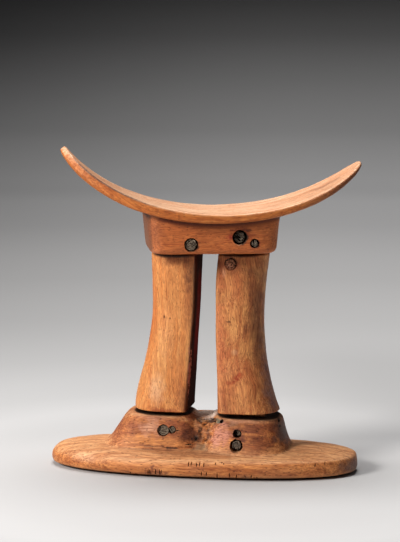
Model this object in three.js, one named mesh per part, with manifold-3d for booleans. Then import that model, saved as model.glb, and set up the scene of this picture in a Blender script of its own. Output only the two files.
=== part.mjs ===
// A carved wooden headrest of ancient Egyptian form: a curved neck rest with the block under it
// in one piece, two waisted columns tenoned into it and into an oval foot, and the wooden pegs
// that lock the tenons. Millimetres, +Z up, the front looks towards -Y, and the foot runs along X.
import * as THREE from "three";
import { mergeVertices } from "three/addons/utils/BufferGeometryUtils.js";
import Module from "manifold-3d";

const wasm = await Module();
wasm.setup();

const DEG = Math.PI / 180;

// ---- driving dimensions -------------------------------------------------------------------

// The neck rest is a plank bent along an arc, with a leaf-shaped plan. It is measured along its
// upper surface: s runs from -halfArc at the left tip to +halfArc at the right tip.
const rest = {
  halfArc: 90.4,
  halfDepth: 33.1,
  planPower: 2.13, // 2 is an ellipse, more is squarer
  middleRadius: 147, // radius of the curve at the middle
  lean: -2.3 * DEG, // slope at the middle: the left arm stands higher
  skew: -3.0 * DEG, // extra slope of the left arm
  curl: 13.4 * DEG, // how much more the arms curl up towards their tips
  middleZ: 145.3, // height of the upper surface at the middle
  rimLeft: 4.9, // thickness of the edge at the left tip
  rimRight: 2.0,
  belly: 6.6, // thickness along the middle of the plank
  arris: 0.9, // rounding of the edges
};

// The block under the neck rest narrows downwards.
const block = {
  bottomZ: 122.8,
  topHalfWidth: 37.2,
  topHalfDepth: 27.2,
  bottomHalfWidth: 34.9,
  bottomHalfDepth: 25.4,
  x: 0.35, // how far right of the middle of the neck rest it stands
  corner: 3.0, // rounding of the lower edges
  planPower: 5.5,
};

// The headpiece stands askew on its columns.
const headpiecePlace = { x: 3.45, y: 0.57, turn: 14.6 * DEG };

// Each column has one flat side, which faces the other column. A station gives, at height z, the
// x of the flat side and of the round side, the y of the axis, and half the depth.
const columns = {
  left: {
    stations: [
      { z: 33.4, flat: -6.8, round: -38.4, y: 0.0, depth: 17.0 },
      { z: 37.6, flat: -6.6, round: -38.2, y: -0.2, depth: 16.6 },
      { z: 47.0, flat: -5.9, round: -36.4, y: -0.6, depth: 15.6 },
      { z: 60.0, flat: -4.9, round: -32.8, y: -1.2, depth: 14.4 },
      { z: 74.0, flat: -3.9, round: -29.9, y: -1.8, depth: 13.6 },
      { z: 88.0, flat: -2.8, round: -28.1, y: -2.4, depth: 13.2 },
      { z: 105.0, flat: -1.9, round: -27.9, y: -3.2, depth: 13.4 },
      { z: 121.6, flat: -1.1, round: -28.2, y: -3.9, depth: 14.0 },
    ],
  },
  right: {
    stations: [
      { z: 33.4, flat: 10.1, round: 43.4, y: 0.0, depth: 17.4 },
      { z: 40.0, flat: 9.9, round: 40.9, y: 0.4, depth: 16.4 },
      { z: 51.0, flat: 9.5, round: 37.9, y: 1.1, depth: 15.2 },
      { z: 62.0, flat: 8.8, round: 35.7, y: 1.7, depth: 14.3 },
      { z: 75.0, flat: 8.3, round: 34.4, y: 2.5, depth: 13.7 },
      { z: 88.0, flat: 8.1, round: 33.9, y: 3.3, depth: 13.4 },
      { z: 105.0, flat: 8.0, round: 34.9, y: 4.3, depth: 13.7 },
      { z: 121.0, flat: 9.2, round: 36.7, y: 5.3, depth: 14.4 },
    ],
  },
};
const flatPower = 5; // squareness of the flat side's edges
const roundPower = 2.15;
const axisShare = 0.46; // the axis lies this share of the width in from the flat side

const tenon = {
  upper: { halfWidth: 9, halfDepth: 6.5, height: 12.5 },
  lower: { halfWidth: 10, halfDepth: 7, height: 18 },
  power: 7,
  slack: 0.4, // free room round and beyond each tenon in its mortise
};

// The foot is one piece: an oval plank with two joined bosses, one under each column, and a lower
// saddle between them. A contour gives, at height z, how far the outline reaches to each side of
// its centre.
const foot = {
  plank: {
    x: 0,
    y: 0,
    contours: [
      { z: 0.0, left: 84.2, right: 84.2, front: 32.3, back: 32.3, power: 2.33 },
      { z: 1.3, left: 86.2, right: 86.2, front: 34.2, back: 34.2, power: 2.33 },
      { z: 4.2, left: 87.0, right: 87.0, front: 35.0, back: 35.0, power: 2.33 },
      { z: 7.2, left: 86.2, right: 86.6, front: 34.5, back: 34.5, power: 2.33 },
      { z: 9.3, left: 83.4, right: 85.0, front: 32.9, back: 32.9, power: 2.35 },
      { z: 10.7, left: 78.0, right: 82.0, front: 30.4, back: 30.4, power: 2.4 },
      { z: 12.0, left: 69.0, right: 71.5, front: 26.4, back: 26.6, power: 2.5 },
      { z: 13.2, left: 60.0, right: 57.0, front: 21.0, back: 22.5, power: 2.6 },
      { z: 13.9, left: 45.0, right: 43.0, front: 12.0, back: 14.0, power: 2.5 },
    ],
    topZ: 14.1,
  },
  leftBoss: {
    x: -22,
    y: 0,
    contours: [
      { z: 10.5, left: 46.0, right: 24.5, front: 25.0, back: 27.0, power: 2.5 },
      { z: 12.6, left: 36.5, right: 23.2, front: 21.6, back: 23.0, power: 2.6 },
      { z: 14.5, left: 32.6, right: 22.4, front: 19.8, back: 21.0, power: 2.7 },
      { z: 17.0, left: 30.0, right: 21.6, front: 18.8, back: 19.8, power: 2.8 },
      { z: 21.5, left: 27.0, right: 20.4, front: 18.2, back: 18.8, power: 2.8 },
      { z: 26.5, left: 23.8, right: 19.0, front: 17.8, back: 18.2, power: 2.8 },
      { z: 31.0, left: 20.6, right: 17.6, front: 17.3, back: 17.7, power: 2.8 },
      { z: 32.2, left: 18.4, right: 16.4, front: 16.2, back: 16.6, power: 2.8 },
    ],
    topZ: 32.5,
  },
  rightBoss: {
    x: 25,
    y: 0,
    contours: [
      { z: 9.8, left: 33.0, right: 32.0, front: 28.6, back: 28.0, power: 2.6 },
      { z: 12.0, left: 28.5, right: 26.4, front: 25.2, back: 24.0, power: 2.7 },
      { z: 14.5, left: 25.8, right: 24.0, front: 23.0, back: 21.8, power: 2.8 },
      { z: 17.5, left: 23.8, right: 22.7, front: 21.4, back: 20.6, power: 2.8 },
      { z: 22.0, left: 21.6, right: 21.2, front: 19.8, back: 19.4, power: 2.8 },
      { z: 26.5, left: 19.6, right: 20.0, front: 18.6, back: 18.6, power: 2.8 },
      { z: 30.0, left: 18.2, right: 18.9, front: 17.7, back: 18.0, power: 2.8 },
      { z: 31.2, left: 16.6, right: 18.0, front: 16.8, back: 17.0, power: 2.8 },
    ],
    topZ: 31.6,
  },
  saddle: {
    x: 2,
    y: 1,
    contours: [
      { z: 10.5, left: 30.0, right: 28.0, front: 19.5, back: 24.0, power: 3.4 },
      { z: 14.5, left: 28.0, right: 26.0, front: 16.6, back: 20.6, power: 3.4 },
      { z: 21.0, left: 25.0, right: 23.0, front: 14.6, back: 18.6, power: 3.4 },
      { z: 26.0, left: 23.0, right: 21.0, front: 13.0, back: 17.4, power: 3.4 },
      { z: 28.6, left: 21.0, right: 19.0, front: 10.5, back: 15.8, power: 3.4 },
    ],
    topZ: 29.6,
  },
};

// Pegs are driven in from the front, square to the face that they enter. x and z are measured in
// the frame of the piece they enter, and tip is the y that they end at.
const pegs = {
  headpiece: [
    { name: "peg_head_left", x: -12.5, z: 128.3, radius: 3.2, end: -26.4, tip: 4 },
    { name: "peg_head_right", x: 14.0, z: 132.2, radius: 3.3, end: -25.6, tip: 4 },
    { name: "peg_head_small", x: 22.2, z: 128.8, radius: 2.0, end: -26.2, tip: 2 },
  ],
  foot: [
    { name: "peg_foot_left", x: -19.6, z: 23.3, radius: 2.9, end: -17.3, tip: 4 },
    { name: "peg_foot_left_small", x: -14.6, z: 23.8, radius: 1.7, end: -17.3, tip: 2 },
    { name: "peg_foot_right_small", x: 22.1, z: 23.0, radius: 1.9, end: -18.8, tip: 2 },
    { name: "peg_foot_right", x: 21.9, z: 16.7, radius: 3.0, end: -21.0, tip: 4 },
  ],
};
const pegSlack = 0.4; // free room round a peg

// A plug fills a round hole high on the front of the right column.
const plug = { x: 16.4, z: 115.7, radius: 3.1, depth: 6 };

const facets = { rest: 60, block: 44, column: 36, foot: 60, tenon: 24, peg: 14 };

// ---- shape helpers ------------------------------------------------------------------------

// A smooth curve through the values of one field of a list of stations in rising z.
function along(stations, field, z) {
  const last = stations.length - 1;
  let i = 0;
  while (i < last - 1 && z > stations[i + 1].z) i++;
  const slope = (k) => {
    const a = stations[Math.max(k - 1, 0)];
    const b = stations[Math.min(k + 1, last)];
    return (b[field] - a[field]) / (b.z - a.z);
  };
  const [p, q] = [stations[i], stations[i + 1]];
  const span = q.z - p.z;
  const t = (z - p.z) / span;
  const [t2, t3] = [t * t, t * t * t];
  return (
    (2 * t3 - 3 * t2 + 1) * p[field] +
    (t3 - 2 * t2 + t) * span * slope(i) +
    (3 * t2 - 2 * t3) * q[field] +
    (t3 - t2) * span * slope(i + 1)
  );
}

// The x and y of a rounded outline at angle t, with its own reach on each side.
function outline(t, { left, right, front, back, power }) {
  const [c, s] = [Math.cos(t), Math.sin(t)];
  const e = 2 / power;
  return [
    (c > 0 ? right : -left) * Math.abs(c) ** e,
    (s > 0 ? back : -front) * Math.abs(s) ** e,
  ];
}

// A closed skin over rings of points, closed at both ends by a pole.
function skin(bottomPole, rings, topPole) {
  const n = rings[0].length;
  const points = [bottomPole, ...rings.flat(), topPole];
  const at = (ring, k) => 1 + ring * n + (k % n);
  const index = [];
  for (let k = 0; k < n; k++) {
    index.push(0, at(0, k + 1), at(0, k));
    for (let r = 0; r + 1 < rings.length; r++) {
      index.push(at(r, k), at(r, k + 1), at(r + 1, k + 1));
      index.push(at(r, k), at(r + 1, k + 1), at(r + 1, k));
    }
    index.push(points.length - 1, at(rings.length - 1, k), at(rings.length - 1, k + 1));
  }
  const geometry = new THREE.BufferGeometry();
  geometry.setAttribute("position", new THREE.Float32BufferAttribute(points.flat(), 3));
  geometry.setIndex(index);
  return geometry;
}

function solid(geometry) {
  const bare = geometry.clone();
  bare.deleteAttribute("normal");
  bare.deleteAttribute("uv");
  const merged = mergeVertices(bare, 1e-4);
  const mesh = new wasm.Mesh({
    numProp: 3,
    vertProperties: merged.attributes.position.array,
    triVerts: new Uint32Array(merged.index.array),
  });
  return new wasm.Manifold(mesh);
}

function geometryOf(manifold) {
  const mesh = manifold.getMesh();
  const geometry = new THREE.BufferGeometry();
  geometry.setAttribute("position", new THREE.Float32BufferAttribute(mesh.vertProperties, 3));
  geometry.setIndex(Array.from(mesh.triVerts));
  return geometry.toNonIndexed();
}

const angles = (n) => Array.from({ length: n }, (_, k) => (2 * Math.PI * k) / n);

// ---- neck rest and block ------------------------------------------------------------------

// Walks along the arc of the neck rest and keeps x, z and slope at even steps of s.
const arc = (() => {
  const steps = 400;
  const ds = (2 * rest.halfArc) / steps;
  const slopeAt = (s) => {
    const u = s / rest.halfArc;
    return rest.lean + s / rest.middleRadius + rest.skew * u * u + rest.curl * u * u * u;
  };
  const rows = [{ x: 0, z: 0, slope: slopeAt(-rest.halfArc) }];
  for (let k = 1; k <= steps; k++) {
    const slope = slopeAt(-rest.halfArc + (k - 0.5) * ds);
    const before = rows[k - 1];
    rows.push({
      x: before.x + Math.cos(slope) * ds,
      z: before.z + Math.sin(slope) * ds,
      slope: slopeAt(-rest.halfArc + k * ds),
    });
  }
  const middle = { ...rows[steps / 2] };
  for (const row of rows) {
    row.x -= middle.x;
    row.z += rest.middleZ - middle.z;
  }
  return { rows, ds };
})();

function arcAt(s) {
  const place = (s + rest.halfArc) / arc.ds;
  const i = Math.min(Math.max(Math.floor(place), 0), arc.rows.length - 2);
  const [p, q] = [arc.rows[i], arc.rows[i + 1]];
  const t = place - i;
  return { x: p.x + t * (q.x - p.x), z: p.z + t * (q.z - p.z), slope: p.slope + t * (q.slope - p.slope) };
}

// The height of the neck rest's upper surface over x.
function restHeight(x) {
  const i = arc.rows.findIndex((row) => row.x >= x);
  const [p, q] = [arc.rows[i - 1], arc.rows[i]];
  return p.z + ((x - p.x) / (q.x - p.x)) * (q.z - p.z);
}

// A point of the plank: s along it, y across it, and drop below its upper surface.
function plankPoint(s, y, drop) {
  const { x, z, slope } = arcAt(s);
  return [x + Math.sin(slope) * drop, y, z - Math.cos(slope) * drop];
}

function neckRest() {
  const { halfArc, halfDepth, arris } = rest;
  const rim = (s) => {
    const share = (s / halfArc + 1) / 2;
    return rest.rimLeft + share * (rest.rimRight - rest.rimLeft);
  };
  const ring = (inset, scale, drop) =>
    angles(facets.rest).map((t) => {
      const [s, y] = outline(t, {
        left: (halfArc - inset) * scale,
        right: (halfArc - inset) * scale,
        front: (halfDepth - inset) * scale,
        back: (halfDepth - inset) * scale,
        power: rest.planPower,
      });
      return plankPoint(s, y, drop(s));
    });
  const under = (scale) => (s) => rim(s) + (rest.belly - rim(s)) * (1 - scale ** 2) ** 0.6;
  const scales = [0.18, 0.36, 0.53, 0.69, 0.83, 0.94];
  const rings = [
    ...scales.map((q) => ring(0, q, under(q))),
    ring(arris * 0.35, 1, (s) => rim(s) - arris * 0.3),
    ring(0, 1, (s) => rim(s) - arris),
    ring(0, 1, () => arris),
    ring(arris * 0.3, 1, () => arris * 0.3),
    ring(arris, 1, () => 0),
    ...scales.toReversed().map((q) => ring(arris, q, () => 0)),
  ];
  return skin(plankPoint(0, 0, rest.belly), rings, plankPoint(0, 0, 0));
}

function blockBody() {
  const embed = 2; // how far below the upper surface the block's body ends inside the plank
  const { bottomZ, corner } = block;
  const topZ = rest.middleZ;
  const ring = (z, inset, top = false) => {
    const share = (z - bottomZ) / (topZ - bottomZ);
    const width = block.bottomHalfWidth + share * (block.topHalfWidth - block.bottomHalfWidth);
    const depth = block.bottomHalfDepth + share * (block.topHalfDepth - block.bottomHalfDepth);
    return angles(facets.block).map((t) => {
      const [x, y] = outline(t, {
        left: width - inset,
        right: width - inset,
        front: depth - inset,
        back: depth - inset,
        power: block.planPower,
      });
      return [block.x + x, y, top ? restHeight(block.x + x) - embed : z];
    });
  };
  const rings = [
    ring(bottomZ, corner),
    ring(bottomZ + corner * 0.13, corner * 0.5),
    ring(bottomZ + corner * 0.5, corner * 0.13),
    ring(bottomZ + corner, 0),
    ring(134, 0),
    ring(topZ, 0, true),
  ];
  return skin([block.x, 0, bottomZ], rings, [block.x, 0, restHeight(block.x) - embed]);
}

// ---- columns ------------------------------------------------------------------------------

function columnSection(column, z, inset) {
  const at = (field) => along(column.stations, field, z);
  const [flat, round, y, depth] = [at("flat"), at("round"), at("y"), at("depth") - inset];
  const width = Math.abs(round - flat);
  const side = Math.sign(flat - round); // +1 where the flat side faces +X
  const axis = flat - side * width * axisShare;
  return angles(facets.column).map((t) => {
    const toFlat = Math.cos(t) * side > 0;
    const power = toFlat ? flatPower : roundPower;
    const reach = (toFlat ? width * axisShare : width * (1 - axisShare)) - inset;
    const [x, dy] = outline(t, { left: reach, right: reach, front: depth, back: depth, power });
    return [axis + x, y + dy, z];
  });
}

const topOf = (column) => column.stations.at(-1);
const bottomOf = (column) => column.stations[0];

// The axis of a column at one of its ends.
function axisAt(station) {
  return { x: station.flat + (station.round - station.flat) * axisShare, y: station.y };
}

// A tenon, or with slack its mortise: an upright peg of rounded square section.
function tenonBody(centre, fromZ, toZ, { halfWidth, halfDepth }, slack = 0) {
  const reach = {
    left: halfWidth + slack,
    right: halfWidth + slack,
    front: halfDepth + slack,
    back: halfDepth + slack,
    power: tenon.power,
  };
  const ring = (z) =>
    angles(facets.tenon).map((t) => {
      const [x, y] = outline(t, reach);
      return [centre.x + x, centre.y + y, z];
    });
  return skin([centre.x, centre.y, fromZ], [ring(fromZ), ring(toZ)], [centre.x, centre.y, toZ]);
}

function columnBody(column) {
  const worn = 0.6; // rounding of the end edges
  const [z0, z1] = [bottomOf(column).z, topOf(column).z];
  const levels = 12;
  const rings = [columnSection(column, z0, worn)];
  for (let k = 0; k <= levels; k++) {
    rings.push(columnSection(column, z0 + worn + ((z1 - z0 - 2 * worn) * k) / levels, 0));
  }
  rings.push(columnSection(column, z1, worn));
  const [low, high] = [axisAt(bottomOf(column)), axisAt(topOf(column))];
  return skin([low.x, low.y, z0], rings, [high.x, high.y, z1]);
}

// ---- foot ---------------------------------------------------------------------------------

function mound({ x, y, contours, topZ }) {
  const rings = contours.map((contour) =>
    angles(facets.foot).map((t) => {
      const [dx, dy] = outline(t, contour);
      return [x + dx, y + dy, contour.z];
    }),
  );
  return skin([x, y, contours[0].z], rings, [x, y, topZ]);
}

// ---- pegs ---------------------------------------------------------------------------------

// A round peg along Y from its outer end to its tip, or with slack its hole.
function pegBody({ x, z, radius, end, tip }, slack = 0, outward = 0) {
  const length = tip - end + slack + outward;
  const geometry = new THREE.CylinderGeometry(radius + slack, radius + slack, length, facets.peg);
  geometry.translate(0, (tip + slack + end - outward) / 2, 0);
  geometry.translate(x, 0, z);
  return geometry;
}

// ---- assembly -----------------------------------------------------------------------------

const past = 12; // how far a hole's cutter stands out of the face it enters
const headpieceFrame = new THREE.Matrix4()
  .makeRotationZ(headpiecePlace.turn)
  .setPosition(headpiecePlace.x, headpiecePlace.y, 0);
const placed = (geometry) => geometry.clone().applyMatrix4(headpieceFrame);

const headHoles = pegs.headpiece.map((peg) => solid(placed(pegBody(peg, pegSlack, past))));
const footHoles = pegs.foot.map((peg) => solid(pegBody(peg, pegSlack, past)));

const tenons = {};
for (const [side, column] of Object.entries(columns)) {
  const [low, high] = [bottomOf(column), topOf(column)];
  const sink = 3; // the tenons start this far inside the column
  tenons[side] = (slack) => ({
    upper: tenonBody(
      axisAt(high),
      high.z - sink,
      high.z + tenon.upper.height + slack,
      tenon.upper,
      slack,
    ),
    lower: tenonBody(
      axisAt(low),
      low.z - tenon.lower.height - slack,
      low.z + sink,
      tenon.lower,
      slack,
    ),
  });
}
const mortises = Object.values(tenons).map((body) => body(tenon.slack));

let headpiece = solid(placed(neckRest())).add(solid(placed(blockBody())));
for (const { upper } of mortises) headpiece = headpiece.subtract(solid(upper));
for (const hole of headHoles) headpiece = headpiece.subtract(hole);

let footSolid = solid(mound(foot.plank))
  .add(solid(mound(foot.leftBoss)))
  .add(solid(mound(foot.rightBoss)))
  .add(solid(mound(foot.saddle)));
for (const { lower } of mortises) footSolid = footSolid.subtract(solid(lower));
for (const hole of footHoles) footSolid = footSolid.subtract(hole);

// The front of the right column at a given place, found on the section at that height.
function columnFront(column, x, z) {
  const section = columnSection(column, z, 0).filter((p) => p[1] < along(column.stations, "y", z));
  return section.reduce((a, b) => (Math.abs(a[0] - x) < Math.abs(b[0] - x) ? a : b))[1];
}

const plugFace = columnFront(columns.right, plug.x, plug.z);
const plugPeg = { ...plug, end: plugFace + 0.3, tip: plugFace + plug.depth };

function columnSolid(side) {
  const { upper, lower } = tenons[side](0);
  let body = solid(columnBody(columns[side])).add(solid(upper)).add(solid(lower));
  for (const hole of [...headHoles, ...footHoles]) body = body.subtract(hole);
  if (side === "right") body = body.subtract(solid(pegBody(plugPeg, pegSlack, past)));
  return body;
}

const wood = (color, roughness) => new THREE.MeshStandardMaterial({ color, roughness, metalness: 0 });
const restWood = wood(0xb8703c, 0.42);
const columnWood = wood(0xc07a40, 0.5);
const footWood = wood(0xb06a3a, 0.45);
const pegWood = wood(0x4a3a2c, 0.8);

const headrest = new THREE.Group();
function place(name, geometry, material, parent = headrest) {
  const mesh = new THREE.Mesh(geometry, material);
  mesh.name = name;
  parent.add(mesh);
}

place("headpiece", geometryOf(headpiece), restWood);
place("column_left", geometryOf(columnSolid("left")), columnWood);
place("column_right", geometryOf(columnSolid("right")), columnWood);
place("foot", geometryOf(footSolid), footWood);

const headPegs = new THREE.Group();
headPegs.position.set(headpiecePlace.x, headpiecePlace.y, 0);
headPegs.rotation.z = headpiecePlace.turn;
headrest.add(headPegs);
for (const peg of pegs.headpiece) place(peg.name, pegBody(peg), pegWood, headPegs);
for (const peg of pegs.foot) place(peg.name, pegBody(peg), pegWood);
place("plug_column_right", pegBody(plugPeg), columnWood);

// The origin is under the middle of the whole headrest, on the surface it stands on.
const bounds = new THREE.Box3().setFromObject(headrest);
const middle = bounds.getCenter(new THREE.Vector3());
headrest.position.set(-middle.x, -middle.y, -bounds.min.z);

export default headrest;
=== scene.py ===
# An ancient Egyptian wooden headrest: neck rest and block in one piece, two columns, a foot with
# two bosses, and the pegs that lock the tenons. Sizes in the dictionaries are millimetres.
import math

import bpy
import numpy as np
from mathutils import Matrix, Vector, noise


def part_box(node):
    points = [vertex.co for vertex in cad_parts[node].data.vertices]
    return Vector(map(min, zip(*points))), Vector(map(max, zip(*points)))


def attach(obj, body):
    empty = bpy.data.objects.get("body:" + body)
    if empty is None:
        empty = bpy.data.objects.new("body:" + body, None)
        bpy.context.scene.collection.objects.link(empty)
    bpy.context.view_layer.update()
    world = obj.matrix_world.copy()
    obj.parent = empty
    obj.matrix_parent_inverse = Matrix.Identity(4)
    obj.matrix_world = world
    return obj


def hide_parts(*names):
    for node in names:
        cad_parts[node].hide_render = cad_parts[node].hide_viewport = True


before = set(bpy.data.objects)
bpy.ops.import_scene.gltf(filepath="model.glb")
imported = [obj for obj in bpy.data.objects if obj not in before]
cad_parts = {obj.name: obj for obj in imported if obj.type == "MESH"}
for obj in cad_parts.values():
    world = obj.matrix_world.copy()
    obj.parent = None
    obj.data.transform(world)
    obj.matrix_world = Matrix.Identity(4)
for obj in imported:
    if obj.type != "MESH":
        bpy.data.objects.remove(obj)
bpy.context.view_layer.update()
mm = 0.001
footLow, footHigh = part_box("foot")
footCentre = np.array([(footLow[0] + footHigh[0]) / 2, (footLow[1] + footHigh[1]) / 2, footLow[2]])
headTurn = math.radians(14.6)  # the headpiece stands askew on its columns
headMiddle = np.array([3.45, 0.57, 0.0])
print("frame loaded")


def srgb(r, g, b):  # a colour as it looks on a screen, 0 to 255
    def linear(v):
        v /= 255
        return v / 12.92 if v <= 0.04045 else ((v + 0.055) / 1.055) ** 2.4

    return (linear(r), linear(g), linear(b), 1.0)


def turnedBy(x, y, angle):
    c, s = math.cos(angle), math.sin(angle)
    return x * c - y * s, x * s + y * c


def stacked(x, y, z):  # points from their coordinates, any of which can be a single number
    return np.stack(np.broadcast_arrays(x, y, z), -1)


def toRow(own, turned=False):  # from a piece's own millimetres to metres in the shared frame
    p = np.array(own, float)
    if turned:
        p = stacked(*turnedBy(p[:, 0], p[:, 1], headTurn), p[:, 2]) + headMiddle
    return p * mm + footCentre


def fromRow(co, turned=False):  # and the other way
    p = (co - footCentre) / mm
    if turned:
        p = p - headMiddle
        p = stacked(*turnedBy(p[:, 0], p[:, 1], -headTurn), p[:, 2])
    return p


def link(data, name):
    piece = bpy.data.objects.new(name, data)
    bpy.context.scene.collection.objects.link(piece)
    return piece


def newMesh(name, points, faces):
    mesh = bpy.data.meshes.new(name)
    mesh.from_pydata(points, [], faces)
    mesh.update()
    return link(mesh, name)


def skin(name, bottomPole, rings, topPole, turned=False, place=True):  # a closed shell over rings of points
    n = len(rings[0])
    points = np.vstack([[bottomPole], *rings, [topPole]])
    faces = []
    last = len(points) - 1
    for k in range(n):
        j = (k + 1) % n
        faces.append((0, 1 + j, 1 + k))
        for r in range(len(rings) - 1):
            a, b = 1 + r * n, 1 + (r + 1) * n
            faces.append((a + k, a + j, b + j, b + k))
        faces.append((last, 1 + (len(rings) - 1) * n + k, 1 + (len(rings) - 1) * n + j))
    return newMesh(name, toRow(points, turned) if place else points, faces)


def outline(n, left, right, front, back, power):  # 2 is an ellipse, and higher powers are squarer
    t = np.linspace(0, 2 * np.pi, n, endpoint=False)
    c, s = np.cos(t), np.sin(t)
    x = np.where(c > 0, right, -left) * np.abs(c) ** (2 / power)
    y = np.where(s > 0, back, -front) * np.abs(s) ** (2 / power)
    return x, y


def oval(n, halfWidth, halfDepth, power):
    return outline(n, halfWidth, halfWidth, halfDepth, halfDepth, power)


def quarter(steps):  # cosine and sine along a quarter circle, for rounded edges
    angles = [math.radians(a) for a in np.linspace(0, 90, steps)]
    return [(math.cos(a), math.sin(a)) for a in angles]


def evaluated(piece):  # runs the piece's modifiers and keeps the result as its plain mesh
    depsgraph = bpy.context.evaluated_depsgraph_get()
    mesh = bpy.data.meshes.new_from_object(piece.evaluated_get(depsgraph))
    piece.modifiers.clear()
    old = piece.data
    piece.data = mesh
    bpy.data.meshes.remove(old)
    return piece


def joined(name, pieces):
    points, faces = [], []
    for piece in pieces:
        start = len(points)
        points += [v.co.copy() for v in piece.data.vertices]
        faces += [[start + i for i in f.vertices] for f in piece.data.polygons]
        bpy.data.objects.remove(piece)
    return newMesh(name, points, faces)


def remeshed(piece, size, smoothing):
    remesh = piece.modifiers.new("remesh", "REMESH")
    remesh.mode = "VOXEL"
    remesh.voxel_size = size * mm
    soften = piece.modifiers.new("soften", "SMOOTH")
    soften.factor = 0.5
    soften.iterations = smoothing
    return evaluated(piece)


def cut(piece, cutter):
    boolean = piece.modifiers.new("cut", "BOOLEAN")
    boolean.operation = "DIFFERENCE"
    boolean.solver = "MANIFOLD"
    boolean.object = cutter
    evaluated(piece)
    bpy.data.objects.remove(cutter)
    return piece


def vectors(things, name):
    flat = np.empty(len(things) * 3)
    things.foreach_get(name, flat)
    return flat.reshape(-1, 3)


def coordinates(piece):
    return vectors(piece.data.vertices, "co")


def normals(piece):
    return vectors(piece.data.vertex_normals, "vector")


def moveTo(piece, co):
    piece.data.vertices.foreach_set("co", co.ravel())
    piece.data.update()
    return piece


def pushed(piece, distance):  # moves each point along its normal, in millimetres
    return moveTo(piece, coordinates(piece) + normals(piece) * (distance * mm)[:, None])


def lumps(co, size, seed, octaves=2):  # smooth noise at each point, about -1 to 1
    at = co / (size * mm) + np.array([seed * 17.3, seed * 5.1, seed * 9.7])
    return np.array([noise.fractal(Vector(p), 0.9, 2.0, octaves) for p in at])


def handWorked(co, lumpSets):  # what the tools left: the size, seed and height of each set of lumps
    return sum(lumps(co, size, seed) * height for size, seed, height in lumpSets)


def smoothStep(a, b, v):
    t = np.clip((v - a) / (b - a), 0, 1)
    return t * t * (3 - 2 * t)


def spread(values, edges, count, rounds):  # averages each value with its neighbours
    a, b = edges[:, 0], edges[:, 1]
    for _ in range(rounds):
        total = np.bincount(a, values[b], count) + np.bincount(b, values[a], count)
        number = np.bincount(a, None, count) + np.bincount(b, None, count)
        values = 0.4 * values + 0.6 * total / np.maximum(number, 1)
    return values


def bending(piece, rounds):  # above 0 in hollows, below 0 on edges
    count = len(piece.data.vertices)
    edges = np.empty(len(piece.data.edges) * 2, int)
    piece.data.edges.foreach_get("vertices", edges)
    edges = edges.reshape(-1, 2)
    co, n = coordinates(piece) / mm, normals(piece)
    d = co[edges[:, 1]] - co[edges[:, 0]]
    length2 = np.maximum((d * d).sum(1), 0.01)
    bendA = (n[edges[:, 0]] * d).sum(1) / length2
    bendB = -(n[edges[:, 1]] * d).sum(1) / length2
    number = np.bincount(edges.ravel(), None, count)
    bend = np.bincount(edges[:, 0], bendA, count) + np.bincount(edges[:, 1], bendB, count)
    return spread(bend / np.maximum(number, 1), edges, count, rounds)


def marked(fields, steps):  # each step names a field, where the mark starts and where it is full
    mask = 1.0
    for field, start, full in steps:
        mask = mask * smoothStep(start, full, fields[field])
    return mask


def near(own, at, size):  # 1 at a spot, falling to 0 at its size
    away = (own - np.array(at)) / np.array(size)
    return 1 - smoothStep(0.2, 1, np.sqrt((away * away).sum(1)))


def paint(piece, name, values):  # a number or a vector at each point, for the wood to read
    values = np.asarray(values, np.float32)
    kind, field = ("FLOAT", "value") if values.ndim == 1 else ("FLOAT_VECTOR", "vector")
    attribute = piece.data.attributes.new(name, kind, "POINT")
    attribute.data.foreach_set(field, values.ravel())


# edges that hands have rubbed, taken before anything is cut
def markWear(piece, rounds=4, strength=1.0, where=1.0):
    paint(piece, "wear", smoothStep(0.03, 0.28, -bending(piece, rounds) * strength) * where)


# hollows darkened as dirt and painted shade, and what faces up for the painted top light, taken last
def markHollows(piece, rounds=3, where=1.0):
    paint(piece, "crevice", smoothStep(0.04, 0.3, bending(piece, rounds)) * where)
    paint(piece, "top", smoothStep(0.35, 0.8, normals(piece)[:, 2]))


def smooth(piece, angle=38):
    piece.data.polygons.foreach_set("use_smooth", [True] * len(piece.data.polygons))
    piece.data.set_sharp_from_angle(angle=math.radians(angle))


def finished(piece, material, slot, *nodes):
    piece.data.materials.clear()
    piece.data.materials.append(material)
    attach(piece, "root")
    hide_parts(*nodes)


view = {
    "azimuth": 9.4,  # degrees to the right of straight in front
    "distance": 1.0,  # metres, as are the next two
    "height": 0.235,
    "lookAt": (-0.0018, -0.0003, 0.1108),
    "lens": 119.9,
}
lamps = {  # right, towards the back, and up, in metres, seen from the camera
    "key": {"at": (-1.0, -0.7, 0.74), "size": 0.45, "power": 22.5, "colour": (1.0, 0.97, 0.93)},
    "fill": {"at": (0.9, -1.0, 0.5), "size": 0.9, "power": 0.15, "colour": (0.93, 0.96, 1.0)},
    "top": {"at": (-0.08, 0.14, 1.25), "size": 0.75, "power": 18.5, "colour": (1.0, 0.98, 0.96)},
}
room = {"colour": (0.86, 0.89, 0.95, 1), "strength": 0.07}
lampTarget = (footCentre[0], footCentre[1], 0.09)
viewTurn = math.radians(view["azimuth"])


def aim(thing, at, target):
    thing.location = at
    thing.rotation_euler = (Vector(target) - Vector(at)).to_track_quat("-Z", "Y").to_euler()


def makeCamera():
    camera = link(bpy.data.cameras.new("camera"), "camera")
    camera.data.lens = view["lens"]
    camera.data.clip_start = 0.05
    lookAt = Vector(view["lookAt"]) + Vector(footCentre)
    eye = lookAt + Vector((math.sin(viewTurn), -math.cos(viewTurn), 0)) * view["distance"]
    eye.z = view["height"]
    aim(camera, eye, lookAt)
    bpy.context.scene.camera = camera


def makeLamp(name, lamp):
    data = bpy.data.lights.new(name, "AREA")
    data.shape = "DISK"
    data.size = lamp["size"]
    data.energy = lamp["power"]
    data.color = lamp["colour"]
    right, back, up = lamp["at"]
    x, y = turnedBy(right, back, viewTurn)
    aim(link(data, name), (footCentre[0] + x, footCentre[1] + y, up), lampTarget)


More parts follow.
